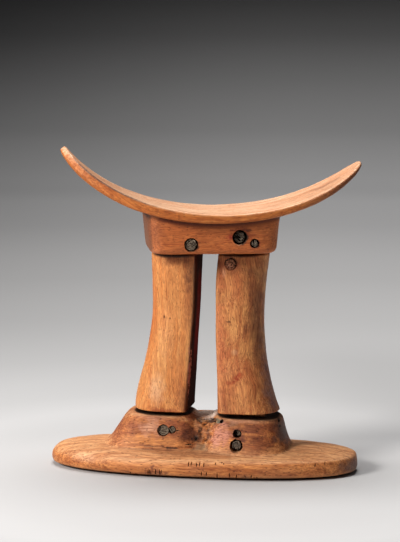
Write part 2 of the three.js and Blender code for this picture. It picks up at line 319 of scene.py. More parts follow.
def makeRoom():
    world = bpy.data.worlds.new("room")
    world.use_nodes = True
    light = world.node_tree.nodes["Background"].inputs
    light["Color"].default_value = room["colour"]
    light["Strength"].default_value = room["strength"]
    bpy.context.scene.world = world
    bpy.context.scene.view_settings.view_transform = "Standard"


makeCamera()
for name, lamp in lamps.items():
    makeLamp(name, lamp)
makeRoom()


def add(tree, kind, settings=None, inputs=None):
    made = tree.nodes.new(kind)
    for key, value in (settings or {}).items():
        setattr(made, key, value)
    for key, value in (inputs or {}).items():
        if isinstance(value, bpy.types.NodeSocket):
            tree.links.new(value, made.inputs[key])
        else:
            made.inputs[key].default_value = value
    return made


def sums(tree, operation, a, b=0.5, c=0.5):
    return add(tree, "ShaderNodeMath", {"operation": operation}, {0: a, 1: b, 2: c}).outputs[0]


def mixed(tree, factor, a, b, kind="MIX"):
    settings = {"data_type": "RGBA", "blend_type": kind}
    return add(tree, "ShaderNodeMix", settings, {0: factor, 6: a, 7: b}).outputs[2]


def ranged(tree, value, low, high, toLow=0.0, toHigh=1.0):
    inputs = {"Value": value, 1: low, 2: high, 3: toLow, 4: toHigh}
    return add(tree, "ShaderNodeMapRange", {"interpolation_type": "SMOOTHSTEP"}, inputs).outputs[0]


def vectorSums(tree, operation, a, b):
    return add(tree, "ShaderNodeVectorMath", {"operation": operation}, {0: a, 1: b}).outputs[0]


def scaled(tree, vector, by):
    inputs = {0: vector, "Scale": by}
    return add(tree, "ShaderNodeVectorMath", {"operation": "SCALE"}, inputs).outputs[0]


def lengthOf(tree, vector):
    return add(tree, "ShaderNodeVectorMath", {"operation": "LENGTH"}, {0: vector}).outputs["Value"]


def xyz(tree, x=0.0, y=0.0, z=0.0):
    return add(tree, "ShaderNodeCombineXYZ", None, {0: x, 1: y, 2: z}).outputs[0]


def split(tree, vector):
    return add(tree, "ShaderNodeSeparateXYZ", None, {0: vector}).outputs


def clouds(tree, at, scale, detail, roughness=0.5, distortion=0.0):
    inputs = {"Vector": at, "Scale": scale, "Detail": detail}
    inputs.update({"Roughness": roughness, "Distortion": distortion})
    return add(tree, "ShaderNodeTexNoise", None, inputs).outputs


def newTree(kind, name, inputs, outputs):  # a node group with named sockets
    tree = bpy.data.node_groups.new(name, kind)
    for socket, socketKind, default in inputs:
        made = tree.interface.new_socket(socket, in_out="INPUT", socket_type="NodeSocket" + socketKind)
        if default is not None:
            made.default_value = default
    for socket, socketKind in outputs:
        tree.interface.new_socket(socket, in_out="OUTPUT", socket_type="NodeSocket" + socketKind)
    return tree, add(tree, "NodeGroupInput").outputs


def makeGrainGroup():  # wood grain that runs along X, for coordinates in millimetres
    inputs = [
        ("Vector", "Vector", None),
        ("Figure Width", "Float", 6.0),
        ("Figure Length", "Float", 70.0),
        ("Warp", "Float", 3.0),
        ("Fibre Width", "Float", 0.7),
        ("Fibre Length", "Float", 9.0),
        ("Pore Amount", "Float", 0.5),
    ]
    outputs = [(name, "Float") for name in ("Figure", "Streaks", "Fibre", "Pores", "Mottle", "Height")]
    group, given = newTree("ShaderNodeTree", "woodGrain", inputs, outputs)
    bend = vectorSums(group, "SUBTRACT", clouds(group, given["Vector"], 0.025, 2.0)["Color"], (0.5, 0.5, 0.5))
    bend = scaled(group, bend, sums(group, "MULTIPLY", given["Warp"], 4.0))
    at = vectorSums(group, "ADD", given["Vector"], bend)

    def stretched(kind, lengthShare=1.0, widthShare=1.0):
        length = sums(group, "MULTIPLY", given[kind + " Length"], lengthShare)
        width = sums(group, "MULTIPLY", given[kind + " Width"], widthShare)
        across = sums(group, "DIVIDE", 1.0, width)
        size = xyz(group, sums(group, "DIVIDE", 1.0, length), across, across)
        return vectorSums(group, "MULTIPLY", at, size)

    figure = ranged(group, clouds(group, stretched("Figure"), 1.0, 4.0, 0.55, 0.3)[0], 0.3, 0.7)
    streaks = ranged(group, clouds(group, stretched("Figure", 0.5, 0.42), 1.0, 3.0, 0.65)[0], 0.52, 0.7)
    fibre = ranged(group, clouds(group, stretched("Fibre"), 1.0, 3.0, 0.6)[0], 0.28, 0.72)
    dashes = {"Vector": stretched("Fibre", 0.55, 1.7), "Scale": 1.0}
    dashes = add(group, "ShaderNodeTexVoronoi", None, dashes).outputs
    keep = add(group, "ShaderNodeSeparateColor", None, {0: dashes["Color"]}).outputs[0]
    keep = sums(group, "LESS_THAN", keep, given["Pore Amount"])
    pores = sums(group, "MULTIPLY", ranged(group, dashes["Distance"], 0.16, 0.3, 1.0, 0.0), keep)
    mottle = ranged(group, clouds(group, at, 0.055, 3.0)[0], 0.32, 0.68)
    height = sums(group, "MULTIPLY", fibre, 0.5)
    height = sums(group, "SUBTRACT", height, sums(group, "MULTIPLY", pores, 0.8))
    height = sums(group, "SUBTRACT", height, sums(group, "MULTIPLY", streaks, 0.3))
    made = {"Figure": figure, "Streaks": streaks, "Fibre": fibre}
    made.update({"Pores": pores, "Mottle": mottle, "Height": height})
    add(group, "NodeGroupOutput", None, made)
    return group


def makeStainGroup():  # a soft-edged patch with a ragged outline
    inputs = [
        ("Vector", "Vector", None),
        ("Centre", "Vector", None),
        ("Size", "Vector", (5.0, 5.0, 5.0)),
        ("Ragged", "Float", 0.5),
        ("Ragged Size", "Float", 4.0),
        ("Softness", "Float", 0.5),
    ]
    group, given = newTree("ShaderNodeTree", "stain", inputs, [("Mask", "Float")])
    away = vectorSums(group, "SUBTRACT", given["Vector"], given["Centre"])
    away = lengthOf(group, vectorSums(group, "DIVIDE", away, given["Size"]))
    scale = sums(group, "DIVIDE", 1.0, given["Ragged Size"])
    rough = sums(group, "SUBTRACT", clouds(group, given["Vector"], scale, 3.0, 0.6)[0], 0.5)
    rough = sums(group, "MULTIPLY", rough, given["Ragged"])
    away = sums(group, "ADD", away, sums(group, "MULTIPLY", rough, 2.0))
    low = sums(group, "SUBTRACT", 1.0, given["Softness"])
    add(group, "NodeGroupOutput", None, {"Mask": ranged(group, away, low, 1.0, 1.0, 0.0)})
    return group


grainGroup = makeGrainGroup()
stainGroup = makeStainGroup()


def newMaterial(name):
    material = bpy.data.materials.new(name)
    material.use_nodes = True
    tree = material.node_tree
    tree.nodes.clear()
    surface = add(tree, "ShaderNodeBsdfPrincipled")
    add(tree, "ShaderNodeOutputMaterial", None, {"Surface": surface.outputs[0]})
    return material, tree, surface


def stain(at, size, colour, strength, softness=0.9, ragged=0.5, raggedSize=4.0):
    inputs = {"Centre": at, "Size": size, "Ragged": ragged, "Ragged Size": raggedSize, "Softness": softness}
    return {"inputs": inputs, "colour": srgb(*colour), "strength": strength}


def coat(mask, colour, strength, late=False):  # a mask painted on the piece; late ones cover the stains
    return {"mask": mask, "colour": srgb(*colour), "strength": strength, "late": late}


def makeWood(name, look, stains=(), coats=()):
    material, tree, surface = newMaterial(name)
    surface.inputs["Specular IOR Level"].default_value = look["gloss"]
    where = add(tree, "ShaderNodeTexCoord").outputs["Object"]
    inMm = {"Vector": where, "Scale": (1 / mm, 1 / mm, 1 / mm)}
    inMm = add(tree, "ShaderNodeMapping", None, inMm).outputs[0]
    grainAt = inMm
    if "grainAt" in look:  # a carved curve whose grain is laid along it
        grainAt = add(tree, "ShaderNodeAttribute", {"attribute_name": look["grainAt"]}).outputs["Vector"]
    along = {"Vector": grainAt, "Location": look["offset"], "Rotation": look["turn"]}
    values = {
        "Vector": add(tree, "ShaderNodeMapping", None, along).outputs[0],
        "Figure Width": look["figureWidth"],
        "Figure Length": look["figureLength"],
        "Warp": look["warp"],
        "Fibre Width": look["fibreWidth"],
        "Fibre Length": look["fibreLength"],
        "Pore Amount": look["pores"],
    }
    grain = add(tree, "ShaderNodeGroup", {"node_tree": grainGroup}, values).outputs

    def attribute(title):
        return add(tree, "ShaderNodeAttribute", {"attribute_name": title}).outputs["Fac"]

    def over(colour, mask, depth, tint, blend="MIX"):
        return mixed(tree, sums(tree, "MULTIPLY", mask, depth), colour, tint, blend)

    def coated(colour, late):
        for layer in coats:
            if layer["late"] == late:
                colour = over(colour, attribute(layer["mask"]), layer["strength"], layer["colour"])
        return colour

    colour = mixed(tree, grain["Figure"], look["dark"], look["light"])
    colour = over(colour, grain["Mottle"], look["mottle"], look["warm"])
    colour = coated(colour, False)
    # painted top light: faces turned up are made paler, in flecks along the figure
    streak = ranged(tree, grain["Figure"], 0.2, 0.8, look["topFlecks"], 1.0)
    top = sums(tree, "MULTIPLY", attribute("top"), streak)
    colour = over(colour, top, look["topDepth"], look["top"])
    for patch in stains:
        inputs = {"Vector": inMm, **patch["inputs"]}
        mask = add(tree, "ShaderNodeGroup", {"node_tree": stainGroup}, inputs).outputs["Mask"]
        colour = over(colour, mask, patch["strength"], patch["colour"])
    colour = coated(colour, True)
    fine = sums(tree, "SUBTRACT", 1.0, grain["Fibre"])
    colour = over(colour, grain["Streaks"], look["streakDepth"], look["streak"], "MULTIPLY")
    colour = over(colour, fine, look["fibreDepth"], look["fibreColour"], "MULTIPLY")
    bright = sums(tree, "MULTIPLY", grain["Fibre"], grain["Fibre"])
    colour = over(colour, bright, look["glintDepth"], look["glint"], "SOFT_LIGHT")
    colour = over(colour, grain["Pores"], look["poreDepth"], look["pore"], "MULTIPLY")
    wear, crevice = attribute("wear"), attribute("crevice")
    colour = over(colour, wear, look["wearDepth"], look["wear"])
    # hollows darkened: dirt and painted shade
    colour = over(colour, crevice, look["creviceDepth"], look["crevice"])
    tree.links.new(colour, surface.inputs["Base Color"])
    rough = sums(tree, "MULTIPLY_ADD", grain["Mottle"], look["roughRange"], look["rough"])
    rough = sums(tree, "MULTIPLY_ADD", fine, look["fibreRough"], rough)
    rough = sums(tree, "SUBTRACT", rough, sums(tree, "MULTIPLY", wear, look["wearPolish"]))
    rough = sums(tree, "MULTIPLY_ADD", crevice, look["dirtRough"], rough)
    tree.links.new(rough, surface.inputs["Roughness"])
    relief = sums(tree, "MULTIPLY", grain["Height"], look["relief"])
    height = sums(tree, "MULTIPLY_ADD", clouds(tree, inMm, 0.35, 4.0)[0], look["dents"], relief)
    bump = add(tree, "ShaderNodeBump", None, {"Height": height, "Strength": 1.0, "Distance": 0.25 * mm})
    tree.links.new(bump.outputs[0], surface.inputs["Normal"])
    return material


sweep = {  # the paper's radius and height in metres: flat, then curving up all round
    "profile": [
        (0.4, 0), (0.9, 0), (1.4, 0), (1.8, 0.015),
        (2.15, 0.09), (2.4, 0.26), (2.55, 0.6), (2.6, 1.1),
    ],
    "steps": 96,
    "under": 0.0002,  # just below the foot
}
backdrop = {
    "tones": [  # painted light and shade along the paper from the headrest, as a share of its full reach
        (0.0, 0.48), (0.02, 0.465), (0.033, 0.465), (0.042, 0.5), (0.055, 0.45), (0.09, 0.42),
        (0.14, 0.44), (0.21, 0.51), (0.3, 0.69), (0.42, 0.935), (0.48, 0.915),
        (0.56, 0.725), (0.66, 0.395), (0.72, 0.22), (0.765, 0.11), (1.0, 0.04),
    ],
    "fullReach": 4.0,  # metres
    "rise": 2.0,  # how much faster the tones go by up the back
    "blue": 1.01,
    "dark": (0.02, 0.02, 0.022, 1),
    # two painted shadows: from and to in metres, and how dark at each where it isn't 0 and 1
    "paintedShadeBackLeft": {"right": (0.2, -0.6, 0.0, 0.5), "near": (0.1, 0.6), "far": (2.2, 3.2, 1.0, 1.6)},
    "paintedShadowBehind": {"right": (0.02, 0.13, 0.05, 0.16), "back": (0.03, 0.09), "near": (0.5, 0.25)},
    "roughness": 0.9,
    "gloss": 0.1,
}


def makeFloor():
    n = sweep["steps"]
    t = np.linspace(0, 2 * np.pi, n, endpoint=False)
    rings = [stacked(radius * np.cos(t), radius * np.sin(t), height) for radius, height in sweep["profile"]]
    points = np.vstack([[(0, 0, 0)], *rings]) + [footCentre[0], footCentre[1], -sweep["under"]]
    faces = [(0, 1 + k, 1 + (k + 1) % n) for k in range(n)]
    for r in range(len(rings) - 1):
        for k in range(n):
            j = (k + 1) % n
            a, b = 1 + r * n, 1 + (r + 1) * n
            faces.append((a + k, b + k, b + j, a + j))
    floor = newMesh("floor", points, faces)
    floor.data.polygons.foreach_set("use_smooth", [True] * len(floor.data.polygons))
    return floor


def makeBackdropPaper():
    paper, tree, surface = newMaterial("backdropPaper")
    at = split(tree, add(tree, "ShaderNodeTexCoord").outputs["Object"])
    reach = lengthOf(tree, xyz(tree, at[0], at[1]))
    reach = sums(tree, "ADD", reach, sums(tree, "MULTIPLY", at[2], backdrop["rise"]))
    ramp = add(tree, "ShaderNodeValToRGB", None, {0: sums(tree, "DIVIDE", reach, backdrop["fullReach"])})
    while len(ramp.color_ramp.elements) < len(backdrop["tones"]):
        ramp.color_ramp.elements.new(0.5)
    for element, (position, tone) in zip(ramp.color_ramp.elements, backdrop["tones"]):
        element.position = position
        element.color = (tone, tone, tone * backdrop["blue"], 1)
    right = sums(tree, "MULTIPLY", at[1], math.sin(viewTurn))
    right = sums(tree, "MULTIPLY_ADD", at[0], math.cos(viewTurn), right)
    back = sums(tree, "MULTIPLY", at[0], -math.sin(viewTurn))
    back = sums(tree, "MULTIPLY_ADD", at[1], math.cos(viewTurn), back)
    fields = {"right": right, "back": back, "near": reach, "far": reach}

    def shade(key):
        steps = [ranged(tree, fields[field], *step) for field, step in backdrop[key].items()]
        inside = sums(tree, "MULTIPLY", steps[0], steps[1])
        return sums(tree, "MULTIPLY", inside, steps[2])

    # the two painted shadows darken the paper
    dark = sums(tree, "MAXIMUM", shade("paintedShadeBackLeft"), shade("paintedShadowBehind"))
    tree.links.new(mixed(tree, dark, ramp.outputs[0], backdrop["dark"]), surface.inputs["Base Color"])
    surface.inputs["Roughness"].default_value = backdrop["roughness"]
    surface.inputs["Specular IOR Level"].default_value = backdrop["gloss"]
    return paper


floor = makeFloor()
floor.data.materials.append(makeBackdropPaper())
print("camera, light and floor done")


woodLook = {
    "offset": (0, 0, 0),
    "turn": (0, 0, 0),
    "dark": srgb(150, 84, 42),
    "light": srgb(206, 134, 76),
    "warm": srgb(176, 92, 48),
    "mottle": 0.4,
    # painted top light on faces turned up
    "top": srgb(214, 156, 108),
    "topDepth": 0.45,
    "topFlecks": 0.45,
    "streak": srgb(178, 138, 112),
    "streakDepth": 0.6,
    "fibreColour": srgb(150, 118, 98),
    "fibreDepth": 0.6,
    "glint": srgb(225, 205, 180),
    "glintDepth": 0.35,
    "pore": srgb(104, 72, 56),
    "poreDepth": 0.7,
    "pores": 0.5,
    "figureWidth": 4.0,
    "figureLength": 60.0,
    "warp": 2.4,
    "fibreWidth": 0.55,
    "fibreLength": 4.5,
    "wear": srgb(236, 176, 128),
    "wearDepth": 0.5,
    # dirt and painted shade in hollows
    "crevice": srgb(38, 24, 18),
    "creviceDepth": 0.8,
    "gloss": 0.28,
    "rough": 0.4,
    "roughRange": 0.14,
    "fibreRough": 0.14,
    "wearPolish": 0.08,
    "dirtRough": 0.2,
    "dents": 0.5,
    "relief": 0.5,
}

restLook = {
    **woodLook,
    "grainAt": "grainAt",
    "dark": srgb(178, 96, 42),
    "light": srgb(218, 136, 70),
    "warm": srgb(208, 112, 48),
    # painted top light, strong on the neck rest's upper faces
    "top": srgb(230, 196, 164),
    "topDepth": 0.92,
    "topFlecks": 0.38,
    "wear": srgb(240, 188, 146),
    "wearDepth": 0.4,
    "figureWidth": 1.7,
    "figureLength": 80.0,
    "poreDepth": 0.45,
    "fibreDepth": 0.5,
}
restStains = [
    # the upper face of the right arm, and its dark streak
    stain((62, 6, 162), (44, 44, 30), (176, 124, 90), 0.5, softness=1.0),
    stain((66, 14, 158), (26, 5, 10), (120, 78, 58), 0.55, ragged=1.2, raggedSize=5.0),
    # the front of the left arm, and its frosted tip
    stain((-60, -20, 160), (34, 30, 20), (166, 96, 50), 0.48, softness=1.0),
    stain((-24, -33, 134), (12, 9, 14), (138, 76, 46), 0.55),
    stain((-82, -14, 178), (9, 14, 9), (150, 104, 88), 0.5, softness=0.6, ragged=0.9, raggedSize=2.5),
    # red scuffs round the right peg
    stain((18.6, -23.1, 132.3), (3.2, 4, 1.8), (156, 40, 36), 0.75, ragged=0.9, raggedSize=2.0),
    stain((19.8, -23, 136.2), (2.8, 4, 0.9), (120, 34, 28), 0.7, softness=0.8, ragged=0.9, raggedSize=2.0),
    stain((24, -21, 133), (8.6, 6, 6.6), (124, 42, 30), 0.6, softness=0.8, ragged=0.7),
    stain((27.5, -21, 136), (3.4, 4, 1.2), (70, 30, 24), 0.7, softness=0.8, ragged=0.8, raggedSize=2.0),
    # dark rings of the three pegs
    stain((24, -21, 132), (4.6, 9, 4.2), (22, 18, 15), 0.95, softness=0.25, ragged=0.3, raggedSize=2.0),
    stain((31.6, -20, 128.5), (3.0, 9, 2.9), (22, 18, 15), 0.95, softness=0.3, ragged=0.3, raggedSize=2.0),
    stain((-1.7, -28, 128.1), (4.2, 9, 4.0), (22, 18, 15), 0.95, softness=0.25, ragged=0.3, raggedSize=2.0),
    stain((31.6, -20, 128.5), (4.6, 4, 4.2), (130, 50, 34), 0.4, softness=0.7),
]
restCoats = [
    # painted shade on the right tip's lower faces
    coat("rightTip", (98, 58, 40), 0.7, late=True),
    coat("blockFace", (192, 106, 60), 0.62),
    # painted shadow under the rim
    coat("shadowUnderRim", (92, 32, 24), 0.85),
    # the block's left side painted dark grey: painted shade
    coat("blockSideShade", (90, 76, 66), 0.68),
    coat("blockCorner", (212, 128, 78), 0.7),
    coat("rimLine", (66, 36, 28), 0.85, late=True),
]
restWood = makeWood("restWood", restLook, restStains, restCoats)

leftLook = {
    **woodLook,
    "turn": (0, math.radians(90), 0),
    "dark": srgb(216, 136, 74),
    "light": srgb(236, 168, 104),
    "warm": srgb(230, 138, 72),
    "figureWidth": 2.8,
    "fibreWidth": 0.45,
    "fibreLength": 4.2,
    "fibreDepth": 0.55,
    "poreDepth": 0.38,
    "creviceDepth": 0.6,
    "streakDepth": 0.4,
}
leftStains = [
    # the shaft's broad bands of colour
    stain((-28, -9, 92), (6.5, 14, 50), (220, 120, 56), 0.65),
    stain((-15, -17, 104), (12, 9, 20), (212, 128, 66), 0.45),
    # the shade under the block, and down beside the flat face
    stain((-14, -18, 119), (14, 9, 6), (126, 64, 36), 0.7, raggedSize=3.0),
    stain((-14, -17, 121.8), (19, 14, 2.4), (30, 16, 12), 0.95, softness=0.5, ragged=0.2),
    stain((-5.5, -15.5, 96), (4.2, 5, 26), (164, 94, 54), 0.65),
    stain((-4.5, -15, 113), (6.5, 9, 17), (84, 40, 28), 0.8),
    # painted highlights on the front, and a darker stretch beside the flat face
    stain((-19, -18, 76), (8, 6, 26), (246, 176, 118), 0.6, softness=1.0),
    stain((-24, -18, 46), (7, 7, 13), (255, 206, 164), 0.55, softness=1.0),
    stain((-10, -17, 50), (7, 6, 24), (190, 116, 66), 0.4),
    # two small dents
    stain((-19.5, -15.4, 86.7), (0.7, 3, 1.4), (110, 60, 34), 0.75, softness=0.8, ragged=0.3),
    stain((-16.1, -16, 86), (0.6, 3, 0.9), (110, 60, 34), 0.7, softness=0.8, ragged=0.3),
    # the stained foot of the shaft, and the pink edge of its flat face
    stain((-20, -19, 34), (18, 6, 2.6), (146, 62, 34), 0.7, softness=0.8, ragged=1.1, raggedSize=2.5),
    stain((-9, -16, 40), (6, 4, 11), (142, 84, 54), 0.5, softness=0.8, ragged=0.8),
    stain((-5.4, -13.4, 54), (1.4, 3, 22), (204, 124, 104), 0.8, softness=0.6, ragged=1.6, raggedSize=1.8),
]
leftCoats = [
    # painted shade on the flat inner face: dark maroon, near-black towards its front edge, top and bottom
    coat("innerFace", (138, 38, 44), 0.96),
    coat("innerShade", (48, 32, 26), 0.96),
]
leftWood = makeWood("leftColumnWood", leftLook, leftStains, leftCoats)

rightLook = {
    **woodLook,
    "turn": (0, math.radians(90), 0),
    "offset": (40, 90, 10),
    "dark": srgb(172, 104, 58),
    "light": srgb(228, 162, 98),
    "warm": srgb(208, 112, 68),
    "poreDepth": 0.5,
    "warp": 4.2,
    "figureWidth": 3.2,
    "figureLength": 34.0,
    "fibreLength": 4.2,
    "creviceDepth": 0.6,
}
rightStains = [
    # the shade under the block
    stain((10, -9, 117), (5, 9, 7), (128, 50, 36), 0.65),
    stain((17, -9, 115.7), (8, 8, 6.5), (152, 74, 52), 0.5, softness=0.8),
    stain((22, -9, 121.6), (19, 16, 2.4), (34, 18, 14), 0.92, softness=0.6, ragged=0.2),
    # painted shade on the round side, and a dark streak
    stain((33, -9, 88), (10, 13, 42), (112, 68, 50), 0.6, ragged=0.9, raggedSize=7.0),
    stain((25, -12, 82), (1.6, 5, 11), (132, 74, 44), 0.6, ragged=1.4, raggedSize=3.0),
    # a slanting red scuff
    stain((17.4, -14, 50.8), (3.4, 6, 1.9), (164, 62, 28), 0.85, ragged=1.2, raggedSize=2.2),
    stain((20.4, -14, 52.8), (4.4, 6, 2.3), (162, 58, 26), 0.9, ragged=1.2, raggedSize=2.2),
    stain((23.2, -14, 55.2), (3.0, 6, 1.8), (170, 70, 34), 0.75, ragged=1.2, raggedSize=2.2),
    # polished stretches and a scratch
    stain((15.5, -12, 56), (6, 6, 9), (226, 156, 102), 0.5, softness=1.0),
    stain((19.6, -13, 67.5), (2.8, 4, 2.4), (236, 178, 132), 0.6),
    stain((14, -12, 88), (6, 6, 12), (222, 152, 92), 0.45),
    stain((15.9, -11, 84), (1.9, 4, 0.5), (84, 48, 34), 0.85, softness=0.6, ragged=0.3),
    # a painted grey reflection on the outer side, and the warm inner edge
    stain((40, -4, 74), (8, 18, 62), (132, 126, 136), 0.72, softness=0.8),
    stain((12, -13, 76), (6, 7, 48), (208, 114, 72), 0.55, ragged=0.9, raggedSize=6.0),
    stain((14, -15, 38), (6, 5, 14), (176, 92, 52), 0.45),
    # dirt round the plug, and a painted highlight below it
    stain((18.0, -9.5, 117.6), (3.1, 6, 3.0), (40, 30, 26), 0.75, softness=0.6, raggedSize=2.0),
    stain((13.2, -10, 111.5), (2.0, 5, 4.5), (238, 170, 132), 0.6, softness=1.0, raggedSize=2.0),
]
rightWood = makeWood("rightColumnWood", rightLook, rightStains)

footLook = {
    **woodLook,
    "offset": (0, 40, 120),
    "dark": srgb(172, 100, 54),
    "light": srgb(232, 156, 92),
    "warm": srgb(208, 122, 64),
    "mottle": 0.35,
    "figureWidth": 2.6,
    "fibreLength": 5.0,
    # painted top light on the foot's upper faces
    "top": srgb(240, 190, 142),
    "topDepth": 0.7,
    "creviceDepth": 0.85,
    "streakDepth": 0.7,
}
footStains = [
    # the two bosses, with painted highlights at the upper left of the left one
    stain((-22, -2, 25), (34, 27, 12.5), (162, 90, 62), 0.78, softness=0.5),
    stain((28, -2, 24), (30, 27, 14.5), (122, 66, 44), 0.85, softness=0.4),
    stain((-13, -19, 23), (15, 7, 9), (140, 78, 52), 0.42, softness=0.8, ragged=0.8, raggedSize=6.0),
    stain((-27, -18.5, 24), (9, 9, 7), (250, 190, 154), 0.75, softness=1.0, ragged=0.7),
    stain((-24, -18, 29.5), (10, 4, 2.4), (222, 158, 124), 0.5, ragged=0.8),
    stain((2, -25, 13), (36, 8, 3.4), (146, 92, 64), 0.55, ragged=0.7),
    # the worn valley between the bosses
    stain((-4, -17, 21.5), (9.5, 5, 8.5), (84, 42, 28), 0.85, softness=0.6, ragged=0.9, raggedSize=5.0),
    stain((12.5, -19, 21.5), (9.5, 7, 8.0), (218, 146, 120), 0.85, softness=0.7, ragged=0.8),
    stain((3.6, -13.5, 26.0), (4.4, 6, 3.2), (208, 132, 74), 0.85, softness=0.5, ragged=1.1, raggedSize=1.8),
    stain((2, -18, 14.5), (6, 6, 2.6), (142, 124, 98), 0.65, softness=0.7, ragged=0.8),
    stain((-1.6, -15, 18.7), (2.8, 4, 3.0), (40, 26, 22), 0.85, softness=0.7, ragged=1.1, raggedSize=2.0),
    stain((0.4, -14, 23.6), (1.8, 5, 2.2), (44, 28, 22), 0.9, softness=0.7, ragged=1.1, raggedSize=1.8),
    stain((5.2, -14, 20.5), (1.3, 5, 5.2), (104, 56, 38), 0.8, softness=0.7, ragged=1.4, raggedSize=1.6),
    stain((2.6, -15, 21), (2.2, 5, 2.4), (206, 134, 82), 0.8, softness=0.7, ragged=1.2, raggedSize=1.8),
    stain((3.0, -12, 28.2), (8.5, 7, 1.8), (40, 28, 24), 0.9, softness=0.7, ragged=1.5, raggedSize=2.2),
    stain((10.4, -14.8, 28.9), (3.4, 4, 1.5), (108, 112, 96), 0.9, softness=0.3, ragged=0.2),
    stain((13.2, -16, 29.2), (1.2, 3, 1.2), (20, 16, 14), 0.95, softness=0.4, ragged=0.3),
    stain((20, -18, 28), (4, 4, 2.4), (150, 112, 84), 0.5, softness=0.8, ragged=0.9),
    # the right boss, its side painted grey and dark as shade, and its nicks
    stain((34, -21, 17), (16, 9, 8), (120, 64, 42), 0.75, softness=0.8),
    stain((46, -6, 22), (7, 18, 11), (112, 98, 92), 0.7, softness=0.8),
    stain((43.6, -7.5, 29), (0.8, 3, 2.2), (24, 18, 16), 0.95, softness=0.5, raggedSize=1.5),
    stain((44.4, -9, 26), (0.9, 3, 1.0), (24, 18, 16), 0.9, softness=0.5, ragged=0.4),
    # the line where the left boss meets the foot
    stain((-27, -20.6, 14.8), (13, 3.4, 0.9), (112, 60, 42), 0.55, ragged=1.0, raggedSize=3.0),
    stain((-14, -21, 14.0), (7, 3.2, 0.8), (70, 38, 28), 0.75, softness=0.8, ragged=1.1, raggedSize=2.0),
    # the far sides and top edges of the bosses
    stain((-48, -8, 22), (12, 22, 11), (158, 94, 68), 0.7),
    stain((24, -18, 30), (17, 5, 1.8), (206, 146, 114), 0.6, ragged=1.0, raggedSize=3.0),
    # scuffs along the front edge
    stain((-21, -34.5, 3.6), (10, 3, 3.6), (108, 50, 44), 0.75, softness=0.8, ragged=1.3, raggedSize=2.6),
    stain((4, -34.5, 3.0), (4, 3, 2.6), (112, 62, 48), 0.6, softness=0.8, ragged=1.3, raggedSize=2.6),
    stain((-38, -33, 2.6), (5, 3, 1.6), (104, 54, 40), 0.6, softness=0.8, ragged=1.3, raggedSize=2.2),
    stain((29, -34, 2.8), (6, 3, 1.8), (96, 52, 40), 0.55, softness=0.8, ragged=1.3, raggedSize=2.2),
    stain((0, -34.5, 5.5), (12, 4, 3), (140, 84, 62), 0.35, ragged=1.0),
    # the right end in shade, the front edge, and a painted highlight at the left end
    stain((86, -6, 4), (13, 24, 9), (98, 92, 96), 0.74),
    stain((48, -34, 3), (34, 12, 7.5), (156, 96, 66), 0.45, ragged=0.8, raggedSize=7.0),
    stain((-64, -26, 8), (13, 8, 4), (244, 196, 156), 0.45),
    # painted light on the top of the saddle
    stain((3.5, 3, 30), (13, 15, 5), (255, 236, 222), 0.97, softness=0.5),
    # dark rings of the pegs
    stain((-19.8, -18, 23.2), (3.5, 8, 3.5), (28, 22, 18), 0.85, softness=0.3, ragged=0.4, raggedSize=2.0),
    stain((-15.0, -18, 23.5), (2.4, 8, 2.1), (28, 22, 18), 0.85, softness=0.3, ragged=0.4, raggedSize=2.0),
    stain((22.0, -19, 23.0), (2.7, 8, 2.6), (22, 16, 14), 0.95, softness=0.3, ragged=0.4, raggedSize=2.0),
    stain((22.0, -21.5, 16.6), (3.7, 8, 3.6), (22, 16, 14), 0.92, softness=0.35, ragged=0.6, raggedSize=1.6),
]
footCoats = [
    # painted shadow under the columns
    coat("columnShadow", (16, 10, 8), 0.98, late=True),
    # painted contact shadow along the foot's lower edge
    coat("floorContactShadow", (34, 24, 18), 0.85, late=True),
]
footWood = makeWood("footWood", footLook, footStains, footCoats)

pegLook = {
    **woodLook,
    "turn": (0, 0, math.radians(90)),
    "dark": srgb(88, 76, 64),
    "light": srgb(158, 146, 128),
    "warm": srgb(118, 98, 80),
    "gloss": 0.15,
    "top": srgb(130, 116, 98),
    "topDepth": 0.2,
    "wear": srgb(176, 160, 140),
    "creviceDepth": 0.95,
    "rough": 0.6,
    "figureWidth": 1.1,
    "fibreWidth": 0.35,
    "fibreLength": 1.0,
    "relief": 0.9,
}
pegWood = makeWood("pegWood", pegLook)
darkPegLook = {
    **pegLook,
    "dark": srgb(30, 25, 22),
    "light": srgb(158, 148, 134),
    "warm": srgb(52, 40, 32),
    "mottle": 0.3,
}
darkPegWood = makeWood("darkPegWood", darkPegLook)
plugLook = {
    **pegLook,
    "light": srgb(214, 146, 108),
    "dark": srgb(132, 96, 78),
    "warm": srgb(176, 102, 74),
    "wear": srgb(240, 176, 136),
}
plugStains = [stain((16.0, -10, 114.8), (2.8, 6, 2.8), (252, 178, 144), 0.85, raggedSize=2.0)]
plugWood = makeWood("plugWood", plugLook, plugStains)
innerLook = {"gloss": 0.02, "rough": 0.8, "mottle": 0.2, "relief": 0.3}
leftInnerWood = makeWood("leftColumnInnerFace", {**leftLook, **innerLook}, leftStains, leftCoats)
rightInnerWood = makeWood("rightColumnInnerFace", {**rightLook, **innerLook}, rightStains)
print("materials done")


